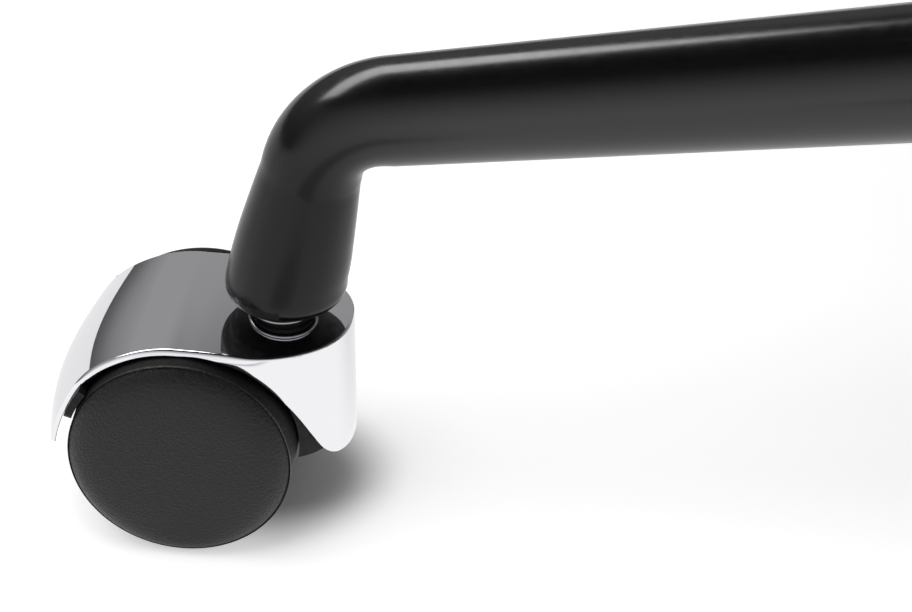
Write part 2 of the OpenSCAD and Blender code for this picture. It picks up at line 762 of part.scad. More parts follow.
module height_lever() {
    color("#1c1c1e") difference() {
        union() {
            translate([-lever_pivot_x, -arm_half_y, lever_pivot_z - arm_t / 2])
                cube([lever_pivot_x + valve_r, 2 * arm_half_y, arm_t]);
            translate([-lever_pivot_x, arm_half_y, lever_pivot_z]) rotate([90, 0, 0])
                cylinder(r = lever_pin_r + lever_boss_t, h = 2 * arm_half_y);
            bent_rod(rod_from, rod_corner, rod_to, lever_r, rod_bend_r);
        }
        translate([-lever_pivot_x, arm_half_y + over, lever_pivot_z]) rotate([90, 0, 0])
            cylinder(r = lever_pin_r + run, h = 2 * (arm_half_y + over));
    }
}

// Flat paddle pushed over the rod's end
module lever_grip() {
    slope = dip(rod_to - rod_corner);
    color("#18181a") translate([rod_to[0], 0, rod_to[1]]) rotate([0, -slope, 0]) difference() {
        linear_extrude(grip_t, center = true)
            polygon(super_outline(grip_l / 2, grip_half_y, grip_power, 48));
        rotate([0, 90, 0]) cylinder(r = lever_r + run, h = grip_l);
    }
}

// Seat

// Distance of the seat bolts from the plate's edges
seat_bolt_edge = 16;
seat_bolt_x = plate_w / 2 - seat_bolt_edge;
seat_bolt_y = plate_l / 2 - seat_bolt_edge;
bolt_r = 3;
bolt_head_r = 6.5;
bolt_head_t = 4;
ear_t = 3;
ear_gap = 0.6;
ear_r = 13;

// Pressed plate with two ears that turn on the tilt pin
module seat_plate() {
    ear_x = mech_w - mech_t - ear_gap - ear_t;
    color("#1c1c1e") difference() {
        union() {
            translate([-plate_w / 2, -plate_l / 2, seat_plate_z]) cube([plate_w, plate_l, plate_t]);
            for (x = [-ear_x - ear_t, ear_x]) translate([x, -tilt_y, 0]) {
                translate([0, 0, tilt_z]) rotate([0, 90, 0]) cylinder(r = ear_r, h = ear_t);
                translate([0, -ear_r, tilt_z]) cube([ear_t, 2 * ear_r, seat_plate_z - tilt_z + plate_t / 2]);
            }
        }
        translate([-mech_w - over, -tilt_y, tilt_z]) rotate([0, 90, 0])
            cylinder(r = tilt_pin_r + run, h = 2 * (mech_w + over));
        for (x = [-1, 1], y = [-1, 1]) translate([x * seat_bolt_x, y * seat_bolt_y, seat_plate_z - over])
            cylinder(r = bolt_r + run, h = plate_t + 2 * over);
    }
}

module bolt(grip) {
    translate([0, 0, -bolt_head_t]) cylinder(r = bolt_head_r, h = bolt_head_t, $fn = 6);
    cylinder(r = bolt_r, h = grip);
}

module seat_bolts() {
    color("#2a2a2c") for (x = [-1, 1], y = [-1, 1])
        translate([x * seat_bolt_x, y * seat_bolt_y, seat_plate_z]) bolt(plate_t + board_t - over);
}

// Front end of the back bar, behind the plate, and its bolts under the board
bar_start_gap = 9.5;
bar_start = plate_l / 2 + bar_start_gap;
bar_bolt_x = 16;
bar_bolt_edge = 18;
bar_bolt_pitch = 50;
bar_bolt_y = [bar_start + bar_bolt_edge, bar_start + bar_bolt_edge + bar_bolt_pitch];
insert_r = 5;
insert_bore_r = 3.32;
insert_flange_r = 9;
insert_flange_t = 1.5;
arm_y = 5;
board_power = 5;

// Plywood board under the cushion
module seat_board() {
    color("#15130f") difference() {
        translate([0, 0, board_z]) linear_extrude(board_t)
            polygon(super_outline(board_w / 2, board_l / 2, board_power, 64));
        for (x = [-1, 1], y = [-1, 1]) translate([x * seat_bolt_x, y * seat_bolt_y, board_z - over])
            cylinder(r = bolt_r + run, h = board_t + over - over / 2);
        for (x = [-1, 1], y = bar_bolt_y) translate([x * bar_bolt_x, y, board_z - over])
            cylinder(r = bolt_r + run, h = board_t + over - over / 2);
        for (x = [-1, 1], y = [-1, 1]) translate([x * arm_x, arm_y + y * arm_pitch / 2, board_z - over]) {
            cylinder(r = insert_r + run, h = board_t + 2 * over);
            translate([0, 0, over - run]) cylinder(r = insert_flange_r + run, h = insert_flange_t + 2 * run);
        }
    }
}

// Threaded steel inserts for a pair of armrests
module armrest_inserts() {
    color("#9a9a9c") for (x = [-1, 1], y = [-1, 1])
        translate([x * arm_x, arm_y + y * arm_pitch / 2, board_z]) difference() {
            union() {
                cylinder(r = insert_flange_r, h = insert_flange_t);
                cylinder(r = insert_r, h = board_t - over);
            }
            translate([0, 0, -over]) cylinder(r = insert_bore_r, h = board_t + 2 * over);
        }
}

// Cushions

pad_sides = 48;
// Outline shares up the side, as [height share of the edge, outline share]
seat_side_shares = [[0, 0.965], [0.12, 0.985], [0.35, 1], [0.6, 0.998], [0.82, 0.985], [0.95, 0.962]];
// Outline shares across the crown
crown_shares = [0.9, 0.78, 0.6, 0.4, 0.2, 0.06];
pad_power = 4;

function ring_points(a, b) = super_outline(a, b, pad_power, pad_sides);
function crown_at(share) = 1 - pow(share, 2.6);

// Drop of the front edge, growing toward -Y
fall_start_share = 0.45;
function fall(y, half) = waterfall * pow(max(0, (-y / half - fall_start_share) / (1 - fall_start_share)), 2);

module seat_cushion() {
    a = board_w / 2 + cushion_lip;
    b = board_l / 2 + cushion_lip;
    base = board_z + board_t;
    sides = [for (s = seat_side_shares) [for (p = ring_points(a * s[1], b * s[1]))
        [p[0], p[1], base + s[0] * (cushion_h - fall(p[1], b))]]];
    crown = [for (s = crown_shares) [for (p = ring_points(a * s, b * s))
        [p[0], p[1], base + cushion_h - fall(p[1], b) + cushion_crown * crown_at(s)]]];
    color("#2b2c30") loft(concat(sides, crown));
}

// Back

upright_lean = back_lean;
bar_bend_r = 34;
bar_z = board_z - bar_t / 2;
bar_steps = 8;
// Distance of the bar's top past the upper bolts
bar_top_over = 26;
bar_turn = 90 - upright_lean;
bar_bend_y = bar_y - bar_bend_r;

// Centreline point of the bar's bend, offset outward by a distance
function bar_bend(t, off) = let (r = bar_bend_r + off)
    [bar_bend_y + r * sin(t), bar_z + bar_bend_r - r * cos(t)];
bar_front = bar_bend(bar_turn, -bar_t / 2);
back_rise = (back_z - bar_front[1]) / cos(upright_lean);
// Heights of the back's two rows of bolts
bolt_row_low = 60;
bolt_row_high = 10;
back_bolt_z = [back_rise - bolt_row_low, back_rise + bolt_row_high];
function bar_top(off) = bar_bend(bar_turn, off)
    + (back_bolt_z[1] + bar_top_over) * [cos(bar_turn), sin(bar_turn)];

// Flat steel bar, bent up behind the seat
module back_bar() {
    outer = [for (i = [0 : bar_steps]) bar_bend(bar_turn * i / bar_steps, bar_t / 2)];
    inner = [for (i = [bar_steps : -1 : 0]) bar_bend(bar_turn * i / bar_steps, -bar_t / 2)];
    outline = concat([[bar_start, bar_z - bar_t / 2]], outer, [bar_top(bar_t / 2), bar_top(-bar_t / 2)],
        inner, [[bar_start, bar_z + bar_t / 2]]);
    color("#1c1c1e") difference() {
        translate([-bar_w / 2, 0, 0]) rotate([90, 0, 90]) linear_extrude(bar_w) polygon(outline);
        for (x = [-1, 1], y = bar_bolt_y) translate([x * bar_bolt_x, y, bar_z - bar_t])
            cylinder(r = bolt_r + run, h = 2 * bar_t);
        on_back() for (x = [-1, 1], z = back_bolt_z) translate([x * bar_bolt_x, -bar_t, z])
            rotate([-90, 0, 0]) cylinder(r = bolt_r + run, h = 4 * bar_t);
    }
}

module back_bar_bolts() {
    color("#2a2a2c") for (x = [-1, 1], y = bar_bolt_y) translate([x * bar_bolt_x, y, bar_z - bar_t / 2])
        bolt(bar_t + board_t - over);
}

// Frame of the back: X across, Z up its face, with Y = 0 on the bar's front face
module on_back() {
    translate([0, bar_front[0], bar_front[1]]) rotate([-upright_lean, 0, 0]) children();
}

pad_land_t = 9;
shell_power = 3.2;
back_y = -pad_land_t - gap;

// Moulded shell: a plate curved about an upright axis, with a boss for the bar
module back_shell() {
    color("#1a1a1c") on_back() difference() {
        union() {
            intersection() {
                translate([0, 0, back_rise]) rotate([90, 0, 0])
                    linear_extrude(back_curve_r, center = true)
                    polygon(super_outline(back_w / 2, back_h / 2, shell_power, 64));
                translate([0, back_y - back_curve_r, back_rise - back_h]) difference() {
                    cylinder(r = back_curve_r, h = 2 * back_h, $fn = 240);
                    translate([0, 0, -over])
                        cylinder(r = back_curve_r - shell_t, h = 2 * back_h + 2 * over, $fn = 240);
                }
            }
            translate([-bar_w / 2, back_y - shell_t / 2, back_bolt_z[0] - bar_bolt_x])
                cube([bar_w, shell_t / 2 + pad_land_t, back_bolt_z[1] - back_bolt_z[0] + 2 * bar_bolt_x]);
        }
        for (x = [-1, 1], z = back_bolt_z) translate([x * bar_bolt_x, bar_t, z])
            rotate([90, 0, 0]) cylinder(r = bolt_r + run, h = bar_t + pad_land_t + shell_t - over);
    }
}

module back_bolts() {
    color("#2a2a2c") on_back() for (x = [-1, 1], z = back_bolt_z) translate([x * bar_bolt_x, bar_t, z])
        rotate([90, 0, 0]) bolt(bar_t + pad_land_t + shell_t / 2);
}

// Front face of the shell at a distance from the middle
function shell_face(x) = back_y - shell_t - gap
    - ((back_curve_r - shell_t) - sqrt(pow(back_curve_r - shell_t, 2) - x * x));
// How much the crown moves down toward the lumbar
crown_shift_share = 0.35;
back_side_shares = [[0, 0.975], [0.3, 1], [0.65, 0.995], [0.92, 0.965]];

module back_cushion() {
    a = back_w / 2;
    b = back_h / 2;
    function place(p, t) = [p[0], shell_face(p[0]) - t, back_rise + p[1]];
    sides = [for (s = back_side_shares) [for (p = super_outline(a * s[1], b * s[1], shell_power, pad_sides))
        place(p, s[0] * back_pad_t)]];
    crown = [for (s = crown_shares) [for (p = super_outline(a * s, b * s, shell_power, pad_sides))
        place(p, back_pad_t + back_crown * crown_at(s) * (1 - crown_shift_share * p[1] / b))]];
    color("#2b2c30") on_back() loft(concat(sides, crown));
}

// Parts to draw
hub();
for (k = [1 : leg_count]) on_leg(k) leg();
caster_stems();
stem_grip_rings();
standpipe();
guide_bush();
thrust_bearing();
piston_rod();
rod_clip();
gas_cylinder();
valve_pin();
mechanism_housing();
tilt_pin();
tilt_springs();
tilt_bumpers();
tension_screw();
tension_knob();
lever_pin();
height_lever();
lever_grip();
seat_plate();
seat_bolts();
seat_board();
armrest_inserts();
seat_cushion();
back_bar();
back_bar_bolts();
back_shell();
back_bolts();
back_cushion();
for (k = [1 : leg_count]) {
    on_caster(k) caster_housing();
    on_caster(k) caster_hood();
    on_caster(k) caster_axle();
    on_caster(k) wheel(1);
    on_caster(k) wheel(-1);
}
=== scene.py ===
"""Office task chair: five bent tubular legs with hooded twin-wheel casters, column, seat and back.

Lengths are in metres unless a name ends in _mm. A caster and a leg are made in their own frames, with
+X along the caster's trail or toward the hub, and the stem's axis at the origin.
"""

import math

import bmesh
import bpy
import numpy as np
from mathutils import Matrix, Vector
from mathutils.bvhtree import BVHTree
from mathutils.kdtree import KDTree


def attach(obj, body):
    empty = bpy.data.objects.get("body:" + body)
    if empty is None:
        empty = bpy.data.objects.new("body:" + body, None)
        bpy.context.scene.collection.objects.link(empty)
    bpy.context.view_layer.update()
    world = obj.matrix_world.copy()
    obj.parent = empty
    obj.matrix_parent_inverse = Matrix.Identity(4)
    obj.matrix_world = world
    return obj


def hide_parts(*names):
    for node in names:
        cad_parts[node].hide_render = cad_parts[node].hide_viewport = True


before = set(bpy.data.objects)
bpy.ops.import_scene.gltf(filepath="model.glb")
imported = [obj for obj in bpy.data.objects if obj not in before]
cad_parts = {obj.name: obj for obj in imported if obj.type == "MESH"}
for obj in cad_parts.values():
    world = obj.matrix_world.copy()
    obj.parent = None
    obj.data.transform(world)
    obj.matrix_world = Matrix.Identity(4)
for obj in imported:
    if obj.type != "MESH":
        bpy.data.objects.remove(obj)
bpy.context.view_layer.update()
MM = 0.001

# Places shared with the CAD model

LEGS = range(1, 6)
STEM_CIRCLE_MM = 300
LEG_STEP = 360 / len(LEGS)
CASTER_TURN = -6.2  # degrees that each caster is swivelled in the photo
TRAIL_MM = 20.6
WHEEL_R_MM = 25
PHOTO_LEG = 2


def leg_angle(k):
    """Bearing of leg k's stem from the column."""
    return math.radians(90 + LEG_STEP * (k - 1))


def stem_place(k):
    """Puts a piece drawn in a caster's frame at leg k."""
    angle = leg_angle(k)
    stem = Vector((math.cos(angle), math.sin(angle), 0)) * STEM_CIRCLE_MM * MM
    return Matrix.Translation(stem) @ Matrix.Rotation(angle + math.radians(CASTER_TURN), 4, "Z")


def leg_place(k):
    """Puts a piece drawn in a leg's frame at leg k."""
    return Matrix.Translation(stem_place(k).translation) @ Matrix.Rotation(leg_angle(k) + math.pi, 4, "Z")


def beside_stems(right, ahead):
    """A place beside each stem, as the camera sees it."""
    return [stem_place(k).translation + VIEW_RIGHT * right + VIEW_AHEAD * ahead for k in LEGS]


# Camera, from the view fitted to the photographed caster

LENS_MM = 138.16
VIEW_RIGHT = -Vector((math.cos(leg_angle(PHOTO_LEG)), math.sin(leg_angle(PHOTO_LEG)), 0))
VIEW_AHEAD = Vector((-VIEW_RIGHT.y, VIEW_RIGHT.x, 0))
VIEW_DROP = math.radians(34.43)
VIEW_RANGE = 0.773
AIM_RIGHT, AIM_UP = 0.038, 0.0514
photo_stem = stem_place(PHOTO_LEG).translation
view_target = photo_stem + VIEW_RIGHT * AIM_RIGHT + Vector((0, 0, AIM_UP))

camera_data = bpy.data.cameras.new("camera")
camera_data.lens = LENS_MM
camera_data.sensor_width = 36
camera_data.clip_start = 0.05
camera = bpy.data.objects.new("camera", camera_data)
bpy.context.scene.collection.objects.link(camera)
view_line = VIEW_AHEAD * math.cos(VIEW_DROP) - Vector((0, 0, math.sin(VIEW_DROP)))
camera.location = view_target - view_line * VIEW_RANGE
camera.rotation_mode = "QUATERNION"
camera.rotation_quaternion = view_line.to_track_quat("-Z", "Y")
bpy.context.scene.camera = camera
bpy.context.scene.view_settings.view_transform = "Standard"

# Nodes and colours


def srgb(code):
    """Linear RGBA from an sRGB hex code."""
    parts = [int(code[i : i + 2], 16) / 255 for i in (1, 3, 5)]
    return tuple(c / 12.92 if c <= 0.04045 else ((c + 0.055) / 1.055) ** 2.4 for c in parts) + (1,)


def add(tree, kind, inputs=None, stops=None, **settings):
    """Adds a shader node with its settings, links or sets its inputs, and gives a ramp its stops, which
    come as {place: hex code}."""
    node = tree.nodes.new("ShaderNode" + kind)
    for name, value in settings.items():
        setattr(node, name, value)
    for name, value in (inputs or {}).items():
        if isinstance(value, bpy.types.NodeSocket):
            tree.links.new(value, node.inputs[name])
        else:
            node.inputs[name].default_value = value
    if stops:
        elements = node.color_ramp.elements
        while len(elements) < len(stops):
            elements.new(0.5)
        for element, (position, code) in zip(elements, sorted(stops.items())):
            element.position = position
            element.color = srgb(code)
    return node


def new_material(name, colour, roughness, metallic=0, **sockets):
    """A material with one surface shader; sockets are its other inputs, with _ for a space."""
    material = bpy.data.materials.new(name)
    material.use_nodes = True
    tree = material.node_tree
    shader = tree.nodes["Principled BSDF"]
    shader.inputs["Base Color"].default_value = srgb(colour)
    shader.inputs["Roughness"].default_value = roughness
    shader.inputs["Metallic"].default_value = metallic
    for name, value in sockets.items():
        shader.inputs[name.replace("_", " ")].default_value = value
    return material, tree, shader


def grain_of(tree, size_mm, detail=2.0, rough=0.5):
    """Inputs of a noise in the piece's own space, with grains about size_mm across."""
    spot = add(tree, "TexCoord").outputs["Object"]
    return {"Vector": spot, "Scale": 1 / (size_mm * MM), "Detail": detail, "Roughness": rough}


def span(value, start, end, low, high):
    """Inputs that take a value from start to end over onto low to high."""
    return {"Value": value, "From Min": start, "From Max": end, "To Min": low, "To Max": high}


def uneven_gloss(tree, shader, size_mm, low, high, detail=2.0):
    """Lets the roughness wander between two values, in patches about size_mm across."""
    patches = add(tree, "TexNoise", grain_of(tree, size_mm, detail)).outputs["Fac"]
    roughness = add(tree, "MapRange", span(patches, 0.3, 0.7, low, high)).outputs["Result"]
    tree.links.new(roughness, shader.inputs["Roughness"])


def relief(tree, shader, *layers):
    """Raises the surface by height fields, one over the other, each as (field, depth in mm, strength)."""
    below = {}
    for field, depth_mm, strength in layers:
        inputs = {"Height": field, "Distance": depth_mm * MM, "Strength": strength, **below}
        below = {"Normal": add(tree, "Bump", inputs).outputs["Normal"]}
    tree.links.new(below["Normal"], shader.inputs["Normal"])


def eased_near(tree, spot, places, start, end, low, high):
    """Eases from low to high while the distance to the nearest of some places goes from start to end."""
    least = None
    for there in places:
        away = add(tree, "VectorMath", {0: spot, 1: tuple(there)}, operation="DISTANCE").outputs["Value"]
        if least is not None:
            away = add(tree, "Math", {0: least, 1: away}, operation="MINIMUM").outputs["Value"]
        least = away
    inputs = span(least, start, end, low, high)
    return add(tree, "MapRange", inputs, interpolation_type="SMOOTHSTEP").outputs["Result"]


def eased_ahead(tree, spot, start, end, low, high):
    """Eases from low to high while a spot's reach along VIEW_AHEAD goes from start to end."""
    pair = {0: spot, 1: tuple(VIEW_AHEAD)}
    reach = add(tree, "VectorMath", pair, operation="DOT_PRODUCT").outputs["Value"]
    inputs = span(reach, start, end, low, high)
    return add(tree, "MapRange", inputs, interpolation_type="SMOOTHSTEP").outputs["Result"]


# Finishes


def satin_powder_coat():
    """Polyester powder coat, baked on steel tube: a soft sheen over a faint orange peel, with painted shade
    on the legs' upright ends, where its reflection is made weaker."""
    material, tree, shader = new_material("satin_powder_coat", "#0c0c0d", 0.2, IOR=1.58)
    uneven_gloss(tree, shader, 2.4, 0.18, 0.23)
    spot = add(tree, "TexCoord").outputs["Object"]
    # Painted shade: the coat reflects less near the stems' necks, fading out by about 60 mm
    necks = [stem + Vector((0, 0, 0.066)) for stem in beside_stems(0, 0)]
    gloss = eased_near(tree, spot, necks, 0.022, 0.06, 0.22, 0.5)
    tree.links.new(gloss, shader.inputs["Specular IOR Level"])
    peel = add(tree, "TexNoise", grain_of(tree, 0.7)).outputs["Fac"]
    relief(tree, shader, (peel, 0.004, 1))
    return material


def painted_shade_end():
    """Dull black under the legs' rolled ends, as painted shade: it stands in for the darkness there and
    hides a highlight.
    """
    material, tree, shader = new_material("painted_shade_end", "#060606", 0.6, Specular_IOR_Level=0.3)
    uneven_gloss(tree, shader, 1.5, 0.55, 0.7)
    return material


def chrome_plate():
    """Polished zinc casting, chrome plated: a mirror with the slightest haze."""
    material, tree, shader = new_material("chrome_plate", "#e9e9ec", 0.035, 1)
    uneven_gloss(tree, shader, 6, 0.025, 0.06, detail=3)
    return material


def moulded_nylon():
    """Glass-filled nylon, moulded in a sparked tool: matte black with a fine grain."""
    material, tree, shader = new_material("moulded_nylon", "#08080a", 0.55, Specular_IOR_Level=0.3)
    uneven_gloss(tree, shader, 1.2, 0.48, 0.62)
    sparks = add(tree, "TexNoise", grain_of(tree, 0.4, 3)).outputs["Fac"]
    relief(tree, shader, (sparks, 0.03, 1))
    return material


def wheel_nylon():
    """Nylon wheel faces, moulded with a leathery grain that catches the light along the top."""
    material, tree, shader = new_material("wheel_nylon", "#121213", 0.42, IOR=1.43)
    specks = add(tree, "TexNoise", grain_of(tree, 0.5, 3)).outputs["Fac"]
    shade = add(tree, "ValToRGB", {"Fac": specks}, {0.3: "#0e0e0f", 0.7: "#171718"}).outputs["Color"]
    tree.links.new(shade, shader.inputs["Base Color"])
    uneven_gloss(tree, shader, 0.6, 0.36, 0.5)
    fine = add(tree, "TexNoise", grain_of(tree, 0.4, 4, 0.6)).outputs["Fac"]
    pit_mm = 0.55
    spot = add(tree, "TexCoord").outputs["Object"]
    pits = add(tree, "TexVoronoi", {"Vector": spot, "Scale": 1 / (pit_mm * MM)}, feature="SMOOTH_F1")
    relief(tree, shader, (fine, 0.1, 1), (pits.outputs["Distance"], 0.14, 1))
    return material


def tread_nylon():
    """The same nylon where it runs on the floor: scuffed dull and darker."""
    material, tree, shader = new_material("tread_nylon", "#060607", 0.62, Specular_IOR_Level=0.25)
    uneven_gloss(tree, shader, 0.9, 0.55, 0.72, detail=3)
    scuffs = add(tree, "TexNoise", grain_of(tree, 0.35, 4, 0.6)).outputs["Fac"]
    relief(tree, shader, (scuffs, 0.05, 1))
    return material


def zinc_plate():
    """Bright zinc on turned steel: a soft, greyish mirror."""
    material, tree, shader = new_material("zinc_plate", "#b9bbbf", 0.3, 1)
    uneven_gloss(tree, shader, 3, 0.24, 0.38)
    return material


def black_oxide():
    """Oiled black oxide on steel: dark with a wet gleam."""
    material, tree, shader = new_material("black_oxide", "#0e0e10", 0.12, IOR=1.9)
    uneven_gloss(tree, shader, 2, 0.1, 0.17)
    return material


def burnished_steel():
    """Turned steel, burnished and oiled: the caster's collar catches a bright rim between black parts."""
    material, tree, shader = new_material("burnished_steel", "#a9a9ac", 0.16, 1)
    uneven_gloss(tree, shader, 1.5, 0.12, 0.22)
    return material


def spring_steel():
    """Drawn wire, oil tempered: dark grey with a dull shine."""
    material, tree, shader = new_material("spring_steel", "#55565a", 0.36, 1)
    uneven_gloss(tree, shader, 1.5, 0.3, 0.45)
    return material


def hard_chrome():
    """Ground rod with hard chrome: a bright, even mirror."""
    material, tree, shader = new_material("hard_chrome", "#d8d9dc", 0.1, 1)
    uneven_gloss(tree, shader, 4, 0.07, 0.14)
    return material


def cylinder_enamel():
    """Gloss black enamel on the gas cylinder: clear reflections."""
    material, tree, shader = new_material("cylinder_enamel", "#121213", 0.2, Coat_Weight=0.3)
    uneven_gloss(tree, shader, 5, 0.16, 0.26)
    return material


def bumper_rubber():
    """Moulded rubber: dull and nearly black."""
    material, tree, shader = new_material("bumper_rubber", "#161616", 0.75)
    lumps = add(tree, "TexNoise", grain_of(tree, 0.8)).outputs["Fac"]
    relief(tree, shader, (lumps, 0.03, 1))
    return material


def moulded_polypropylene():
    """Polypropylene, moulded with a fine leather grain: a soft, broken sheen."""
    material, tree, shader = new_material("moulded_polypropylene", "#1b1b1d", 0.5)
    uneven_gloss(tree, shader, 8, 0.44, 0.56)
    cell_mm = 1.6
    spot = add(tree, "TexCoord").outputs["Object"]
    cells = add(tree, "TexVoronoi", {"Vector": spot, "Scale": 1 / (cell_mm * MM)}, feature="SMOOTH_F1")
    relief(tree, shader, (cells.outputs["Distance"], 0.08, 0.6))
    return material


def stained_plywood():
    """Beech plywood with a black stain; the plies show along its edge."""
    material, tree, shader = new_material("stained_plywood", "#1d1813", 0.6)
    ply_mm, waves_per_unit = 1.5, 20
    spot = add(tree, "TexCoord").outputs["Object"]
    layers = {"Vector": spot, "Scale": 1 / (waves_per_unit * ply_mm * MM), "Distortion": 0.4, "Detail": 1.0}
    plies = add(tree, "TexWave", layers, bands_direction="Z").outputs["Fac"]
    shade = add(tree, "ValToRGB", {"Fac": plies}, {0: "#17120e", 1: "#2a2118"}).outputs["Color"]
    tree.links.new(shade, shader.inputs["Base Color"])
    stretch = {"Vector": spot, "Scale": (220, 1800, 1800)}
    along_grain = add(tree, "Mapping", stretch).outputs["Vector"]
    streaks = add(tree, "TexNoise", {"Vector": along_grain, "Scale": 1.0}).outputs["Fac"]
    relief(tree, shader, (streaks, 0.05, 1))
    return material


def woven_polyester():
    """Black crepe-weave polyester: crossing yarns, a little lint and a soft sheen at grazing angles. The
    yarns run along whichever two axes the surface faces."""
    material, tree, shader = new_material(
        "woven_polyester", "#26272b", 0.85, Sheen_Weight=0.25, Sheen_Roughness=0.5
    )
    yarn_mm = 2.2  # real yarns are about 0.7 mm apart, too fine to show
    times = {"operation": "MULTIPLY"}
    coordinates = add(tree, "TexCoord").outputs
    turn = (math.pi / (yarn_mm * MM),) * 3
    phase = add(tree, "VectorMath", {0: coordinates["Object"], 1: turn}, **times).outputs["Vector"]
    waves = add(tree, "VectorMath", {0: phase}, operation="SINE").outputs["Vector"]
    wave = add(tree, "SeparateXYZ", {"Vector": waves}).outputs
    one, other = (
        add(tree, "CombineXYZ", {"X": wave[x], "Y": wave[y], "Z": wave[z]}).outputs["Vector"]
        for x, y, z in ("YZX", "ZXY")
    )
    crossings = add(tree, "VectorMath", {0: one, 1: other}, **times).outputs["Vector"]
    facing = coordinates["Normal"]
    square = add(tree, "VectorMath", {0: facing, 1: facing}, **times).outputs["Vector"]
    fourth = add(tree, "VectorMath", {0: square, 1: square}, **times).outputs["Vector"]
    weights = add(tree, "VectorMath", {0: fourth, 1: square}, **times).outputs["Vector"]
    over, whole = (
        add(tree, "VectorMath", {0: weights, 1: field}, operation="DOT_PRODUCT").outputs["Value"]
        for field in (crossings, (1, 1, 1))
    )
    signed = add(tree, "Math", {0: over, 1: whole}, operation="DIVIDE").outputs["Value"]
    weave = add(tree, "MapRange", span(signed, -1, 1, 0, 1)).outputs["Result"]
    lint = add(tree, "TexNoise", grain_of(tree, 1.1, 3, 0.6)).outputs["Fac"]
    both = add(tree, "Math", {0: weave, 1: lint}, operation="ADD").outputs["Value"]
    yarns = add(tree, "Math", {0: both, 1: 0.5}, **times).outputs["Value"]
    colours = {0.15: "#191a1d", 0.5: "#27282c", 0.85: "#393a3f"}
    shade = add(tree, "ValToRGB", {"Fac": yarns}, colours).outputs["Color"]
    tree.links.new(shade, shader.inputs["Base Color"])
    relief(tree, shader, (yarns, 0.35, 0.7))
    return material


POWDER = satin_powder_coat()
# Dull black painted shade for the underside of the legs' rolled ends
PAINTED_SHADE_END = painted_shade_end()
CHROME = chrome_plate()
NYLON = moulded_nylon()
WHEEL = wheel_nylon()
TREAD = tread_nylon()
ZINC = zinc_plate()
OXIDE = black_oxide()
COLLAR = burnished_steel()
SPRING = spring_steel()
ROD = hard_chrome()
ENAMEL = cylinder_enamel()
RUBBER = bumper_rubber()
SHELL = moulded_polypropylene()
PLYWOOD = stained_plywood()
CLOTH = woven_polyester()

# Meshes


def piece(name, points, faces, material, crease=40):
    """A smooth mesh object from points in metres; edges sharper than crease degrees stay crisp."""
    mesh = bpy.data.meshes.new(name)
    mesh.from_pydata([tuple(p) for p in points], [], faces)
    obj = bpy.data.objects.new(name, mesh)
    bpy.context.scene.collection.objects.link(obj)
    mesh.materials.append(material)
    joined = bmesh.new()
    joined.from_mesh(mesh)
    bmesh.ops.remove_doubles(joined, verts=joined.verts, dist=1e-6)
    bmesh.ops.recalc_face_normals(joined, faces=joined.faces)
    joined.to_mesh(mesh)
    joined.free()
    mesh.shade_smooth()
    mesh.set_sharp_from_angle(angle=math.radians(crease))
    return obj


def place(obj, matrix):
    """Moves a piece's own points, so that its object stays at the origin."""
    obj.data.transform(matrix)
    return obj


def apply_modifiers(obj):
    """Turns a piece's modifiers into plain mesh."""
    graph = bpy.context.evaluated_depsgraph_get()
    made = bpy.data.meshes.new_from_object(obj.evaluated_get(graph))
    obj.modifiers.clear()
    obj.data = made
    return obj


def tube_faces(rings, sides, wrap=False):
    """Faces between closed rings of points; wrap also joins the last ring to the first."""
    faces = []
    for i in range(rings if wrap else rings - 1):
        a, b = i * sides, (i + 1) % rings * sides
        faces += [(a + j, b + j, b + (j + 1) % sides, a + (j + 1) % sides) for j in range(sides)]
    return faces


def strip_faces(a, b):
    """Faces between two rows of point numbers."""
    return [(a[i], a[i + 1], b[i + 1], b[i]) for i in range(len(a) - 1)]


def turned(profile, steps):
    """Points and faces of a closed profile of (radius, height) turned about Z, in metres."""
    points = []
    for i in range(steps):
        angle = 2 * math.pi * i / steps
        points += [(r * math.cos(angle), r * math.sin(angle), z) for r, z in profile]
    return points, tube_faces(steps, len(profile), wrap=True)


def arc(centre, radius, start, end, steps):
    """Points of an arc in a plane, with angles in degrees."""
    angles = [math.radians(start + (end - start) * i / steps) for i in range(steps + 1)]
    return [(centre[0] + radius * math.cos(a), centre[1] + radius * math.sin(a)) for a in angles]


def eased(table, x):
    """Height at x of a smooth curve through (x, y) pairs, which stays at its end pairs beyond them."""
    xs, ys = zip(*table)
    i = min(max(int(np.searchsorted(xs, x)) - 1, 0), len(xs) - 2)
    slopes = [(ys[j + 1] - ys[j]) / (xs[j + 1] - xs[j]) for j in range(len(xs) - 1)]

    def slope(j):
        """The curve's slope at its pair j."""
        if j in (0, len(xs) - 1):
            return slopes[min(j, len(slopes) - 1)]
        return (slopes[j - 1] + slopes[j]) / 2

    w = xs[i + 1] - xs[i]
    t = min(max((x - xs[i]) / w, 0), 1)
    return (
        ys[i] * (2 * t**3 - 3 * t**2 + 1)
        + w * slope(i) * (t**3 - 2 * t**2 + t)
        + ys[i + 1] * (3 * t**2 - 2 * t**3)
        + w * slope(i + 1) * (t**3 - t**2)
    )


# Legs


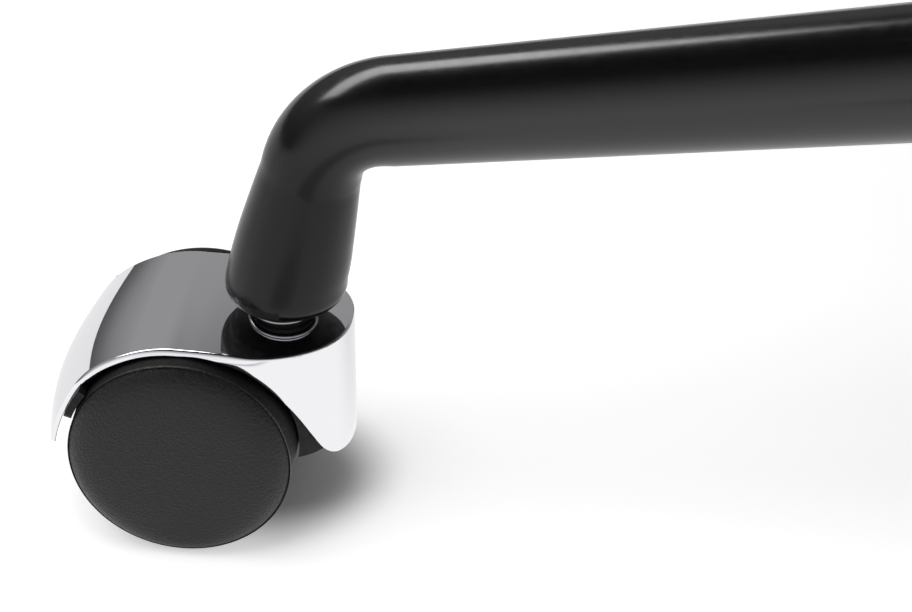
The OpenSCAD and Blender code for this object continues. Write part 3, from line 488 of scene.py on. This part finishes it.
def leg_mesh():
    """The bent and tapered tube, with its rolled lower end and the socket for the stem."""
    end_z, end_x, end_r, rim_r = 54.3, 0.8, 13.5, 4.3
    lean, neck_l, neck_r, neck_lead = 12.5, 27.6, 11, 0.9
    bend_r, arm_r, tube_r, taper_l, rise = 19.6, 11.9, 16, 152, 4.9
    socket_r, hub_reach, squeeze = 5.6, 270, 1.4
    neck = Vector((end_x, end_z + rim_r + neck_lead))
    along = Vector((math.sin(math.radians(lean)), math.cos(math.radians(lean))))
    bend_mid = neck + along * neck_l + bend_r * Vector((along.y, -along.x))
    # Each station: centre, tilt, radius, and how far the bend's inner side is squeezed in
    stations = [((0, end_z + 6), 0, socket_r, 0), ((0, end_z), 0, socket_r, 0)]
    stations += [
        ((end_x, end_z + rim_r * (1 - math.cos(t))), 0, end_r - rim_r * (1 - math.sin(t)), 0)
        for t in np.linspace(0, math.pi / 2, 9)
    ]
    upright_share = 0.42
    for k in np.linspace(0.02, 1, 18):
        radius = end_r + (neck_r - end_r) * k**1.3
        stations.append((neck + along * neck_l * k, lean * min(1, k / upright_share), radius, 0))
    for k in np.linspace(0, 1, 33)[1:]:
        tilt = lean + (90 - rise - lean) * k
        t = math.radians(tilt)
        centre = bend_mid + bend_r * Vector((-math.cos(t), math.sin(t)))
        inward = squeeze * math.sin(math.pi * k) ** 2
        stations.append((centre, tilt, neck_r + (arm_r - neck_r) * k, inward))
    start, tilt = stations[-1][0], 90 - rise
    way = Vector((math.sin(math.radians(tilt)), math.cos(math.radians(tilt))))
    for k in np.linspace(0, 1, 25)[1:]:
        stations.append((start + way * taper_l * k, tilt, arm_r + (tube_r - arm_r) * k, 0))
    stations.append((start + way * (hub_reach - start[0]) / way.x, tilt, tube_r, 0))
    sides = 72
    points = []
    for centre, tilt, r, inward in stations:
        t = math.radians(tilt)
        for i in range(sides):
            a = 2 * math.pi * i / sides
            reach = r * math.cos(a) - inward * max(0, math.cos(a)) ** 1.5
            points.append(
                (
                    (centre[0] + reach * math.cos(t)) * MM,
                    r * math.sin(a) * MM,
                    (centre[1] - reach * math.sin(t)) * MM,
                )
            )
    faces = tube_faces(len(stations), sides)
    faces.append(tuple(range(sides)))
    faces.append(tuple(reversed(range((len(stations) - 1) * sides, len(stations) * sides))))
    return points, faces


def make_legs():
    """Five coated legs, with dull black painted shade where the rolled end turns under: all of the outer
    side, less elsewhere.
    """
    shade_top_z, outer_x, outer_drop, inner_drop = 59 * MM, -0.1, -0.06, -0.6
    points, faces = leg_mesh()
    for k in LEGS:
        leg = piece(f"bent_leg_{k}", points, faces, POWDER)
        leg.data.materials.append(PAINTED_SHADE_END)
        for face in leg.data.polygons:
            drop = outer_drop if face.normal.x < outer_x else inner_drop
            # Faces that turn under low on the rolled end get the dull black painted shade
            face.material_index = int(face.normal.z < drop and face.center.z < shade_top_z)
        place(leg, leg_place(k))
        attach(leg, "base")
        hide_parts(f"leg_{k}")


# Casters

HOOD_SHEET_MM = 1.1
HOOD_FOLD_MM = 0.6
# Hood's lower edge seen from the side, as (along the trail, height) in mm
HOOD_LOW_MM = [
    (-15.5, 19), (-14, 19.2), (-12.6, 19.8), (-11.2, 21.1), (-9.8, 23.2), (-7.9, 27.2), (-5.6, 31.9),
    (-2.8, 36.6), (1.5, 42.3), (5.9, 46.3), (11, 48.8), (15.3, 49.9), (20.6, 50.05),
]  # fmt: skip
# Hood's roof at its side edge, up to the crest over the axle
HOOD_TOP_MM = [(-15.5, 49.8), (0, 49.8), (5, 50.1), (10, 50.9), (15.3, 51.35), (20.6, 51.5)]
CREST_BULGE_MM = 0.05
# Behind the crest, by angle above the axle: radius of the side edge, depth of the fold, bulge at mid-width
VISOR_MM = [
    (0, 29.5, 1.2, 2.4), (12, 28.7, 1.3, 2.4), (24, 28.2, 1.4, 2), (42, 27.9, 1.45, 1),
    (60, 27.2, 1.5, 0.35), (72, 26.9, 1.5, 0.12), (90, 26.5, 1.5, CREST_BULGE_MM),
]  # fmt: skip


def hood_stations():
    """Side stations of the hood from its front to its rear tip: edge point, outward and upward directions
    in the caster's frame, depth of the skirt and crown of the roof, in mm."""
    plan_x, front, half_w, power = 15.8, 15.5, 20, 2.34
    crown_x, crown_l = 3, 17
    reach = plan_x + front

    def upright(x, w, out):
        """A station in front of the crest."""
        top = eased(HOOD_TOP_MM, x)
        crown = CREST_BULGE_MM * min(max((x - crown_x) / crown_l, 0), 1) ** 2
        return Vector((x, w, top)), out, Vector((0, 0, 1)), top - eased(HOOD_LOW_MM, x), crown

    stations = []
    for i in range(41):
        t = math.pi / 2 * (i / 40)
        c, s = math.cos(t), math.sin(t)
        out = Vector((-(c ** (2 - 2 / power)) / reach, s ** (2 - 2 / power) / half_w, 0)).normalized()
        stations.append(upright(plan_x - reach * c ** (2 / power), half_w * s ** (2 / power), out))
    stations += [upright(x, half_w, Vector((0, 1, 0))) for x in (17, 18.8)]
    for i in range(37):
        angle = 90 - 90 * i / 36
        r, depth, bulge = (eased([(row[0], row[n]) for row in VISOR_MM], angle) for n in (1, 2, 3))
        up = Vector((math.cos(math.radians(angle)), 0, math.sin(math.radians(angle))))
        edge = Vector((TRAIL_MM, half_w, WHEEL_R_MM)) + up * r
        stations.append((edge, Vector((0, 1, 0)), up, depth, bulge))
    return stations


def hood_mesh():
    """The plated sheet: a roof, a fold along its edge, and a skirt that deepens toward the front."""
    stations = hood_stations()
    t, r, lip = HOOD_SHEET_MM, HOOD_FOLD_MM, 0.35
    flare, flare_depth, flare_fade, flare_top, flare_l = 0.42, 9, 7, 0.3, 1.2
    # Two extra rows close to the edges keep the roof's shading flat up to the fold
    shares = [0.003, *np.linspace(0, 1, 29)[1:-1], 0.997]
    points, faces = [], []

    def add_point(p):
        """Number of a new point, given in mm."""
        points.append(tuple(c * MM for c in p))
        return len(points) - 1

    def section(edge, out, up, depth):
        """Down the outside from the roof's edge, round the lip and up; a shallow skirt flares outward."""
        spread_mm = flare * min(max((flare_depth - depth) / flare_fade, 0), 1)
        low = depth - lip
        line = []
        for a in np.linspace(0, math.pi / 2, 7):
            line.append((r * (math.sin(a) - 1), r * (math.cos(a) - 1)))
        line += [(0, -r - (low - r) * k) for k in np.linspace(0, 1, 9)[1:]]
        for a in np.linspace(0, math.pi, 7)[1:]:
            line.append((lip * (math.cos(a) - 1), -low - lip * math.sin(a)))
        line += [(-2 * lip - (t - 2 * lip) * k, -low + (low - t) * k) for k in np.linspace(0, 1, 9)[1:]]
        shares_out = [min(max(-u - flare_top, 0) / flare_l, 1) - 0.5 for _, u in line]
        return [edge + out * (o + spread_mm * share) + up * u for (o, u), share in zip(line, shares_out)]

    rows = {1: [], -1: []}
    for edge, out, up, depth, _ in stations:
        for side in (1, -1):
            flip = Vector((1, side, 1))
            line = [add_point(p * flip) for p in section(edge, out, up, depth)]
            rows[side].append(line)
    for side in (1, -1):
        for a, b in zip(rows[side], rows[side][1:]):
            faces += strip_faces(a, b)
    outer, inner = [], []
    for n, (_, _, up, _, crown) in enumerate(stations):
        for skin, end in ((outer, 0), (inner, -1)):
            left, right = Vector(points[rows[-1][n][end]]), Vector(points[rows[1][n][end]])
            row = [rows[-1][n][end]]
            for share in shares:
                v = 2 * share - 1
                row.append(add_point(left.lerp(right, share) / MM + up * crown * (1 - v * v)))
            row.append(rows[1][n][end])
            skin.append(row)
    for skin in (outer, inner):
        for a, b in zip(skin, skin[1:]):
            faces += strip_faces(a, b)
    faces += strip_faces(outer[-1], inner[-1])
    for side in (1, -1):
        faces.append(tuple(rows[side][-1]))
    return points, faces


def bored(obj, radius_mm):
    """Cuts the hole for the housing's boss through the hood."""
    radius, low, high = radius_mm * MM, 44 * MM, 60 * MM
    hole = turned([(0, low), (radius, low), (radius, high), (0, high)], 72)
    cutter = piece("boss_hole", *hole, CHROME)
    cut = obj.modifiers.new("boss_hole", "BOOLEAN")
    cut.object = cutter
    cut.solver = "EXACT"
    apply_modifiers(obj)
    bpy.data.objects.remove(cutter)
    return obj


# Room between the wheel's top and the hood
WHEEL_PLAY_MM = 0.1
# Face of a wheel, from its shoulder to its middle, as (radius, distance from the middle plane) in mm
WHEEL_FACE_MM = [
    (24.7, 23.4), (24.2, 24.1), (23.4, 24.9), (22.4, 25.65), (21.2, 26.25), (19.6, 26.75), (17.5, 27.05),
    (14.5, 27.25), (10, 27.35), (0, 27.4),
]  # fmt: skip


def wheel_profile():
    """Section of a wheel as (radius, distance from the middle) in metres: rim, shoulder and domed face."""
    shoulder_w, face_t, gap_w, rim_t, edge_r, corner_r = 24, 2.4, 8.8, 3.2, 0.9, 0.4
    bore_r, hub_r, hub_w, cap_w = 3.05, 5.5, 3.6, 19.9
    line = [(0, cap_w), (bore_r, cap_w), (bore_r, hub_w), (hub_r, hub_w), (hub_r, shoulder_w - face_t)]
    line += [(WHEEL_R_MM - rim_t, shoulder_w - face_t), (WHEEL_R_MM - rim_t, gap_w)]
    tread_r = WHEEL_R_MM - WHEEL_PLAY_MM
    face_r, face_w = WHEEL_FACE_MM[0]
    line += arc((tread_r - edge_r, gap_w + edge_r), edge_r, -90, 0, 5)
    line += [(tread_r, w) for w in (12, 16, 20, 23)]
    line += arc((tread_r - corner_r, face_w), corner_r, 0, 45, 4)
    face = [(-r, w) for r, w in WHEEL_FACE_MM]
    for r in np.linspace(face_r, 0, 33):
        line.append((r, eased(face, -r)))
    return [(r * MM, w * MM) for r, w in line]


def fender_lug(side):
    """The rounded end of the housing's fender, over the wheel's rear, in a caster's frame."""
    middle_r, half_t, middle_w, half_w, upper, lower = 26.15, 0.9, 20.8, 2.2, 37, 18
    steps, points = 24, []
    for i in range(steps + 1):
        angle = upper + (lower - upper) * math.sin(math.pi / 2 * i / steps)
        left = math.radians(angle - lower) * middle_r
        t = half_t * math.sqrt(max(0.01, 1 - max(0, 1 - left / half_t) ** 2))
        w = half_w * math.sqrt(max(0.1, 1 - max(0, 1 - left / half_w) ** 2))
        for r, y in ((middle_r - t, -w), (middle_r + t, -w), (middle_r + t, w), (middle_r - t, w)):
            points.append(
                (
                    (TRAIL_MM + r * math.cos(math.radians(angle))) * MM,
                    side * (middle_w + y) * MM,
                    (WHEEL_R_MM + r * math.sin(math.radians(angle))) * MM,
                )
            )
    last = 4 * steps
    ends = [(0, 1, 2, 3), (last, last + 1, last + 2, last + 3)]
    return points, tube_faces(steps + 1, 4) + ends


def make_casters():
    """Each caster's plated hood, its fenders' ends and its two wheels."""
    boss_r, tread_from_r, tread_to_w, tread_slope = 6.9, 24.2 * MM, 22.9 * MM, 0.3
    hood = bored(piece("hood", *hood_mesh(), CHROME, crease=50), boss_r)
    wheel_points, wheel_faces = turned(wheel_profile(), 192)
    axle = Matrix.Translation((TRAIL_MM * MM, 0, WHEEL_R_MM * MM))
    for k in LEGS:
        shell = bpy.data.objects.new(f"plated_hood_{k}", hood.data.copy())
        bpy.context.scene.collection.objects.link(shell)
        place(shell, stem_place(k))
        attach(shell, f"caster_{k}")
        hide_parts(f"caster_hood_{k}")
        for side, sign in (("near", -1), ("far", 1)):
            lug = place(piece(f"fender_lug_{k}_{side}", *fender_lug(sign), NYLON), stem_place(k))
            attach(lug, f"caster_{k}")
        for side, turn in (("near", -90), ("far", 90)):
            wheel = piece(f"caster_wheel_{k}_{side}", wheel_points, wheel_faces, WHEEL, crease=45)
            wheel.data.materials.append(TREAD)
            for face in wheel.data.polygons:
                on_rim = face.center.xy.length > tread_from_r and face.center.z < tread_to_w
                face.material_index = int(on_rim and abs(face.normal.z) < tread_slope)
            place(wheel, stem_place(k) @ axle @ Matrix.Rotation(math.radians(turn), 4, "X"))
            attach(wheel, f"{side}_wheel_{k}")
            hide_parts(f"wheel_{k}_{side}")
    bpy.data.objects.remove(hood)


def stem_profile():
    """Section of a caster stem: pin, two-step collar and gripped end, as (radius, height) in metres."""
    pin_r, step_r, grip_r, groove_r, chamfer = 4, 5.7, 5.5, 4.7, 0.6
    foot_z, collar_z, groove_z, groove_end_z, top_z = 31, 51.4, 66.8, 69.2, 73.2
    line = [(0, foot_z), (pin_r - chamfer, foot_z), (pin_r, foot_z + chamfer), (pin_r, collar_z)]
    line += arc((7, 51.68), 0.5, -90, 90, 8)
    line += [(step_r, 52.24)] + arc((6.5, 52.74), 0.44, -90, 90, 8)
    line += [(grip_r, 53.15), (grip_r, groove_z), (groove_r, groove_z), (groove_r, groove_end_z)]
    line += [(grip_r, groove_end_z), (grip_r, 72.4), (groove_r, top_z), (0, top_z)]
    return [(r * MM, z * MM) for r, z in line]


def make_stems():
    """The five stems, as the one piece that they are in the CAD model."""
    points, faces = turned(stem_profile(), 64)
    all_points, all_faces = [], []
    for k in LEGS:
        start = len(all_points)
        all_points += [stem_place(k) @ Vector(p) for p in points]
        all_faces += [tuple(start + i for i in face) for face in faces]
    stems = piece("gripped_stems", all_points, all_faces, COLLAR, crease=50)
    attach(stems, "base")
    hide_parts("caster_stems")


# CAD nodes that are shown as they are; the rest have a piece above or below in their place

NODE_FINISHES = {
    "hub": POWDER,
    "standpipe": POWDER,
    "mechanism_housing": POWDER,
    "seat_plate": POWDER,
    "back_bar": POWDER,
    "height_lever": POWDER,
    "stem_grip_rings": SPRING,
    "tilt_springs": SPRING,
    "guide_bush": NYLON,
    "lever_grip": SHELL,
    "tension_knob": SHELL,
    "back_shell": SHELL,
    "thrust_bearing": ZINC,
    "tilt_pin": ZINC,
    "lever_pin": ZINC,
    "tension_screw": ZINC,
    "armrest_inserts": ZINC,
    "rod_clip": ZINC,
    "piston_rod": ROD,
    "valve_pin": ROD,
    "gas_cylinder": ENAMEL,
    "tilt_bumpers": RUBBER,
    "seat_board": PLYWOOD,
    "seat_bolts": OXIDE,
    "back_bar_bolts": OXIDE,
    "back_bolts": OXIDE,
    "caster_housing": NYLON,
    "caster_axle": ZINC,
}


def finish_nodes():
    """Gives each node that is shown the finish of its name, or of its name without the leg's number."""
    for name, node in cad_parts.items():
        material = NODE_FINISHES.get(name) or NODE_FINISHES.get(name.rstrip("12345").rstrip("_"))
        if material is None:
            continue
        node.data.materials.clear()
        node.data.materials.append(material)
        node.data.shade_smooth()
        node.data.set_sharp_from_angle(angle=math.radians(35))


# Cushions

# Frames of the two pads: +Z comes out of the crown, and the origin is the middle of the face they rest on
SEAT_TOP_MM = 411
BACK_FOOT_MM = (0, 270.708, 424.825)
BACK_LEAN = 8
BACK_MIDDLE_MM = 313.22
SEAT_PAD = Matrix.Translation((0, 0, SEAT_TOP_MM * MM))
BACK_PAD = (
    Matrix.Translation(Vector(BACK_FOOT_MM) * MM)
    @ Matrix.Rotation(math.radians(-BACK_LEAN), 4, "X")
    @ Matrix.Translation((0, 0, BACK_MIDDLE_MM * MM))
    @ Matrix.Rotation(math.radians(90), 4, "X")
)
BACK_CURVE_MM = 615
# Half width, half length and squareness of each pad's outline
SEAT_OUTLINE = (233, 228, 4)
BACK_OUTLINE = (210, 220, 3.2)


def seat_seam(_, y):
    """Height of the seat's seam over its base, in mm: it falls away with the front edge."""
    seam_z, front_drop, flat_share = 29, 12, 0.45
    front_share = (-y / SEAT_OUTLINE[1] - flat_share) / (1 - flat_share)
    return seam_z - front_drop * max(0, front_share) ** 2


def back_seam(x, _):
    """Height of the back's seam over its frame's plane, in mm: it follows the curved shell."""
    shell_z, seam_z = 14.6, 17
    return shell_z + BACK_CURVE_MM - math.sqrt(BACK_CURVE_MM**2 - x * x) + seam_z


def mesh_arrays(mesh):
    """Places and normals of a mesh's vertices."""
    places, normals = np.empty(3 * len(mesh.vertices)), np.empty(3 * len(mesh.vertices))
    mesh.vertices.foreach_get("co", places)
    mesh.vertex_normals.foreach_get("vector", normals)
    return places.reshape(-1, 3), normals.reshape(-1, 3)


def set_places(mesh, places):
    """Moves a mesh's vertices to those places."""
    mesh.vertices.foreach_set("co", places.ravel())
    mesh.update()


def smoothed(obj, passes):
    """Adds a smoothing modifier."""
    smooth = obj.modifiers.new("smooth", "SMOOTH")
    smooth.factor, smooth.iterations = 0.5, passes


def slack_cover(obj, shrink_mm, voxel_mm):
    """An even mesh a little inside the pad's form; the face it rests on keeps its height."""
    places, normals = mesh_arrays(obj.data)
    inward = normals.copy()
    inward[:, 2] = np.maximum(inward[:, 2], 0)
    set_places(obj.data, places - inward * shrink_mm * MM)
    remesh = obj.modifiers.new("remesh", "REMESH")
    remesh.mode = "VOXEL"
    remesh.voxel_size = voxel_mm * MM
    smoothed(obj, 6)
    apply_modifiers(obj)


def swell(obj, pressure, cap_mm):
    """Blows the cover up by cloth simulation, with its resting face held and each point's way capped."""
    frames, held_drop = 20, -0.4
    start, normals = mesh_arrays(obj.data)
    held = obj.vertex_groups.new(name="held")
    held.add([int(i) for i in np.flatnonzero(normals[:, 2] < held_drop)], 1, "REPLACE")
    cloth = obj.modifiers.new("cloth", "CLOTH")
    cloth.settings.use_pressure = True
    cloth.settings.uniform_pressure_force = pressure
    cloth.settings.vertex_group_mass = "held"
    cloth.settings.effector_weights.gravity = 0
    cloth.collision_settings.use_collision = False
    cloth.point_cache.frame_start, cloth.point_cache.frame_end = 1, frames
    scene = bpy.context.scene
    for step in range(1, frames + 1):
        scene.frame_set(step)
    graph = bpy.context.evaluated_depsgraph_get()
    blown, _ = mesh_arrays(obj.evaluated_get(graph).data)
    way = blown - start
    length = np.linalg.norm(way, axis=1, keepdims=True)
    way *= cap_mm * MM * np.tanh(length / (cap_mm * MM)) / np.maximum(length, 1e-9)
    obj.modifiers.clear()
    obj.vertex_groups.clear()
    scene.frame_set(1)
    set_places(obj.data, start + way)


def refine(obj):
    """Smooths the cover and halves its faces."""
    smoothed(obj, 3)
    obj.modifiers.new("refine", "SUBSURF").levels = 1
    apply_modifiers(obj)
    obj.data.shade_smooth()


def seam_path(obj, half_x, half_y, power, height, steps=240):
    """Points and normals on the cover, all round its side at the seam's height, by rays from outside."""
    from_share, to_share, height_share = 1.4, 0.3, 0.98
    tree = BVHTree.FromPolygons(
        [v.co.copy() for v in obj.data.vertices], [tuple(p.vertices) for p in obj.data.polygons]
    )
    hits, outs = [], []
    for i in range(steps):
        t = 2 * math.pi * i / steps
        c, s = math.cos(t), math.sin(t)
        x = half_x * math.copysign(abs(c) ** (2 / power), c)
        y = half_y * math.copysign(abs(s) ** (2 / power), s)
        z = height(x * height_share, y)
        middle = Vector((x * to_share, y * to_share, z)) * MM
        far = Vector((x * from_share, y * from_share, z)) * MM
        hit, out, _, _ = tree.ray_cast(far, (middle - far).normalized())
        hits.append(hit)
        outs.append(out)
    hits, outs = np.array(hits), np.array(outs)
    for _ in range(3):
        hits = (np.roll(hits, 1, 0) + 2 * hits + np.roll(hits, -1, 0)) / 4
        outs = (np.roll(outs, 1, 0) + 2 * outs + np.roll(outs, -1, 0)) / 4
    return hits, outs / np.linalg.norm(outs, axis=1, keepdims=True)


def draw_in(obj, path, depth_mm, reach_mm):
    """Pulls the cover in along a seam."""
    places, normals = mesh_arrays(obj.data)
    near = KDTree(len(path))
    for i, point in enumerate(path):
        near.insert(Vector(point), i)
    near.balance()
    away = np.array([near.find(Vector(p))[2] for p in places])
    pull = depth_mm * MM * np.exp(-((away / (reach_mm * MM)) ** 2))
    set_places(obj.data, places - normals * pull[:, None])


def piping(name, path, outs, radius_mm, proud_mm):
    """A cord sewn into the seam: a closed tube along the path, proud of the cover by that much."""
    sides, points, count = 12, [], len(path)
    for i in range(count):
        along = Vector(path[(i + 1) % count]) - Vector(path[i - 1])
        along.normalize()
        out = Vector(outs[i])
        out = (out - along * out.dot(along)).normalized()
        cross = along.cross(out)
        centre = Vector(path[i]) + out * proud_mm * MM
        for j in range(sides):
            a = 2 * math.pi * j / sides
            points.append(centre + (out * math.cos(a) + cross * math.sin(a)) * radius_mm * MM)
    return piece(name, points, tube_faces(count, sides, wrap=True), CLOTH, crease=60)


def cushion(name, node, frame_of_pad, outline, height):
    """A padded cover over the CAD solid, blown up by cloth simulation, with a piped seam round its side."""
    obj = bpy.data.objects.new(name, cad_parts[node].data.copy())
    bpy.context.scene.collection.objects.link(obj)
    obj.data.materials.clear()
    obj.data.materials.append(CLOTH)
    place(obj, frame_of_pad.inverted())
    slack_cover(obj, shrink_mm=3.5, voxel_mm=6)
    swell(obj, pressure=4, cap_mm=9)
    refine(obj)
    path, outs = seam_path(obj, *outline, height)
    draw_in(obj, path, depth_mm=2, reach_mm=6)
    cord = piping(f"{name}_piping", path, outs, radius_mm=2.3, proud_mm=-0.2)
    for part in (obj, cord):
        place(part, frame_of_pad)
        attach(part, "seat")
    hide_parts(node)


def make_cushions():
    """The seat's and the back's pads."""
    cushion("seat_pad", "seat_cushion", SEAT_PAD, SEAT_OUTLINE, seat_seam)
    cushion("back_pad", "back_cushion", BACK_PAD, BACK_OUTLINE, back_seam)


# Studio


def soft_light(name, centre, aim, size, radiance, mirrored):
    """A rectangular softbox with that radiance, which shines only in gloss or only on matte surfaces."""
    data = bpy.data.lights.new(name, "AREA")
    data.shape = "RECTANGLE"
    data.size, data.size_y = size
    data.energy = radiance * math.pi * size[0] * size[1]
    lamp = bpy.data.objects.new(name, data)
    bpy.context.scene.collection.objects.link(lamp)
    lamp.location = centre
    lamp.rotation_mode = "QUATERNION"
    lamp.rotation_quaternion = (aim - centre).to_track_quat("-Z", "Y")
    lamp.visible_glossy = mirrored
    lamp.visible_diffuse = not mirrored


def studio_floor():
    """White paper floor with painted light: for the camera it glows, which washes out shadows but for a
    soft
    one that fades out a little way from each caster. Gloss sees only a glow with painted light and shade:
    white on the near side, a shade darker on the far side, darker under the wheels and in front of each
    caster."""
    material, tree, shader = new_material("white_paper", "#f4f4f4", 0.9)
    rays = add(tree, "LightPath").outputs
    spot = add(tree, "TexCoord").outputs["Object"]
    # Painted light: the floor glows for the camera, except within about 30 mm of each caster, where its
    # shadow is left
    painted_glow_share = eased_near(tree, spot, beside_stems(-0.002, 0.008), 0.012, 0.031, 0, 0.5)
    painted_glow_share = add(tree, "Math", {0: painted_glow_share, 1: rays["Is Camera Ray"]}, operation="MULTIPLY").outputs["Value"]
    glow = add(tree, "Emission", {"Color": srgb("#ffffff"), "Strength": painted_glow_share}).outputs["Emission"]
    seen = add(tree, "AddShader", {0: shader.outputs["BSDF"], 1: glow}).outputs["Shader"]
    # Painted light and shade in reflections: gloss sees the floor as a glow, brighter on the near side,
    start = photo_stem.dot(VIEW_AHEAD)
    # darkened in a patch in front of each caster and under its wheels, where shade is painted
    white = eased_ahead(tree, spot, start - 0.01, start + 0.05, 1.08, 0.9)
    painted_shade_front = eased_near(tree, spot, beside_stems(-0.028, -0.155), 0.03, 0.075, 0.55, 1)
    shaded = eased_near(tree, spot, beside_stems(-0.02, -0.006), 0.012, 0.03, 0.4, 1)
    for share in (painted_shade_front, shaded):
        white = add(tree, "Math", {0: white, 1: share}, operation="MULTIPLY").outputs["Value"]
    mirrored = add(tree, "Emission", {"Color": srgb("#ffffff"), "Strength": white}).outputs["Emission"]
    either = {0: rays["Is Glossy Ray"], 1: seen, 2: mirrored}
    total = add(tree, "MixShader", either).outputs["Shader"]
    tree.links.new(total, tree.nodes["Material Output"].inputs["Surface"])
    half = 12
    corners = [(-half, -half, 0), (half, -half, 0), (half, half, 0), (-half, half, 0)]
    piece("floor", corners, [(0, 1, 2, 3)], material)


# The mirrored room by height, on its far side and near the camera
FAR_ROOM = {
    0: "#565657", 0.12: "#6c6c6d", 0.25: "#8a8a8b", 0.38: "#9b9b9c", 0.545: "#9c9c9d", 0.575: "#969697",
    0.6: "#808081", 0.63: "#606061", 0.72: "#4c4c4d", 0.86: "#303030", 1: "#060606",
}  # fmt: skip
NEAR_ROOM = {
    0: "#ffffff", 0.12: "#fafafb", 0.29: "#eaeaec", 0.46: "#d0d0d2", 0.65: "#a8a8aa", 0.78: "#808082",
    0.9: "#4c4c4e", 1: "#080808",
}  # fmt: skip


def studio_world():
    """Even light for matte surfaces; gloss mirrors a room that is dark overhead, bright low on the near
    side and grey on the far side; white behind."""
    world = bpy.data.worlds.new("studio")
    bpy.context.scene.world = world
    world.use_nodes = True
    tree = world.node_tree
    tree.nodes.clear()
    towards = add(tree, "TexCoord").outputs["Generated"]
    height = add(tree, "SeparateXYZ", {"Vector": towards}).outputs["Z"]
    near = add(tree, "ValToRGB", {"Fac": height}, NEAR_ROOM).outputs["Color"]
    far = add(tree, "ValToRGB", {"Fac": height}, FAR_ROOM).outputs["Color"]
    far_share = eased_ahead(tree, towards, -0.75, -0.1, 0, 1)
    room = add(tree, "MixRGB", {"Fac": far_share, "Color1": near, "Color2": far}).outputs["Color"]
    rays = add(tree, "LightPath").outputs
    gloss = {"Fac": rays["Is Glossy Ray"], "Color1": srgb("#acacae"), "Color2": room}
    lit = add(tree, "MixRGB", gloss).outputs["Color"]
    camera_sees = {"Fac": rays["Is Camera Ray"], "Color1": lit, "Color2": srgb("#ffffff")}
    seen = add(tree, "MixRGB", camera_sees).outputs["Color"]
    back = add(tree, "Background", {"Color": seen, "Strength": 1.0}).outputs["Background"]
    add(tree, "OutputWorld", {"Surface": back})


def make_studio():
    """The world, the floor, a strip light that the legs mirror and a large box from above."""
    studio_world()
    studio_floor()
    strip_turn = math.radians(31.67)
    c, s = math.cos(strip_turn), math.sin(strip_turn)
    along, across = VIEW_RIGHT * c + VIEW_AHEAD * s, VIEW_AHEAD * c - VIEW_RIGHT * s
    left_far = view_target - along * 0.26
    far_box = left_far + across * 0.865 + Vector((0, 0, 1.18))
    soft_light("far_softbox", far_box, left_far, (1.42, 0.5), 6.4, mirrored=True)
    top_box = view_target - VIEW_RIGHT * 0.45 - VIEW_AHEAD * 0.25 + Vector((0, 0, 1.35))
    soft_light("top_softbox", top_box, view_target, (1.0, 1.0), 3.2, mirrored=False)


make_legs()
make_casters()
make_stems()
finish_nodes()
make_cushions()
make_studio()
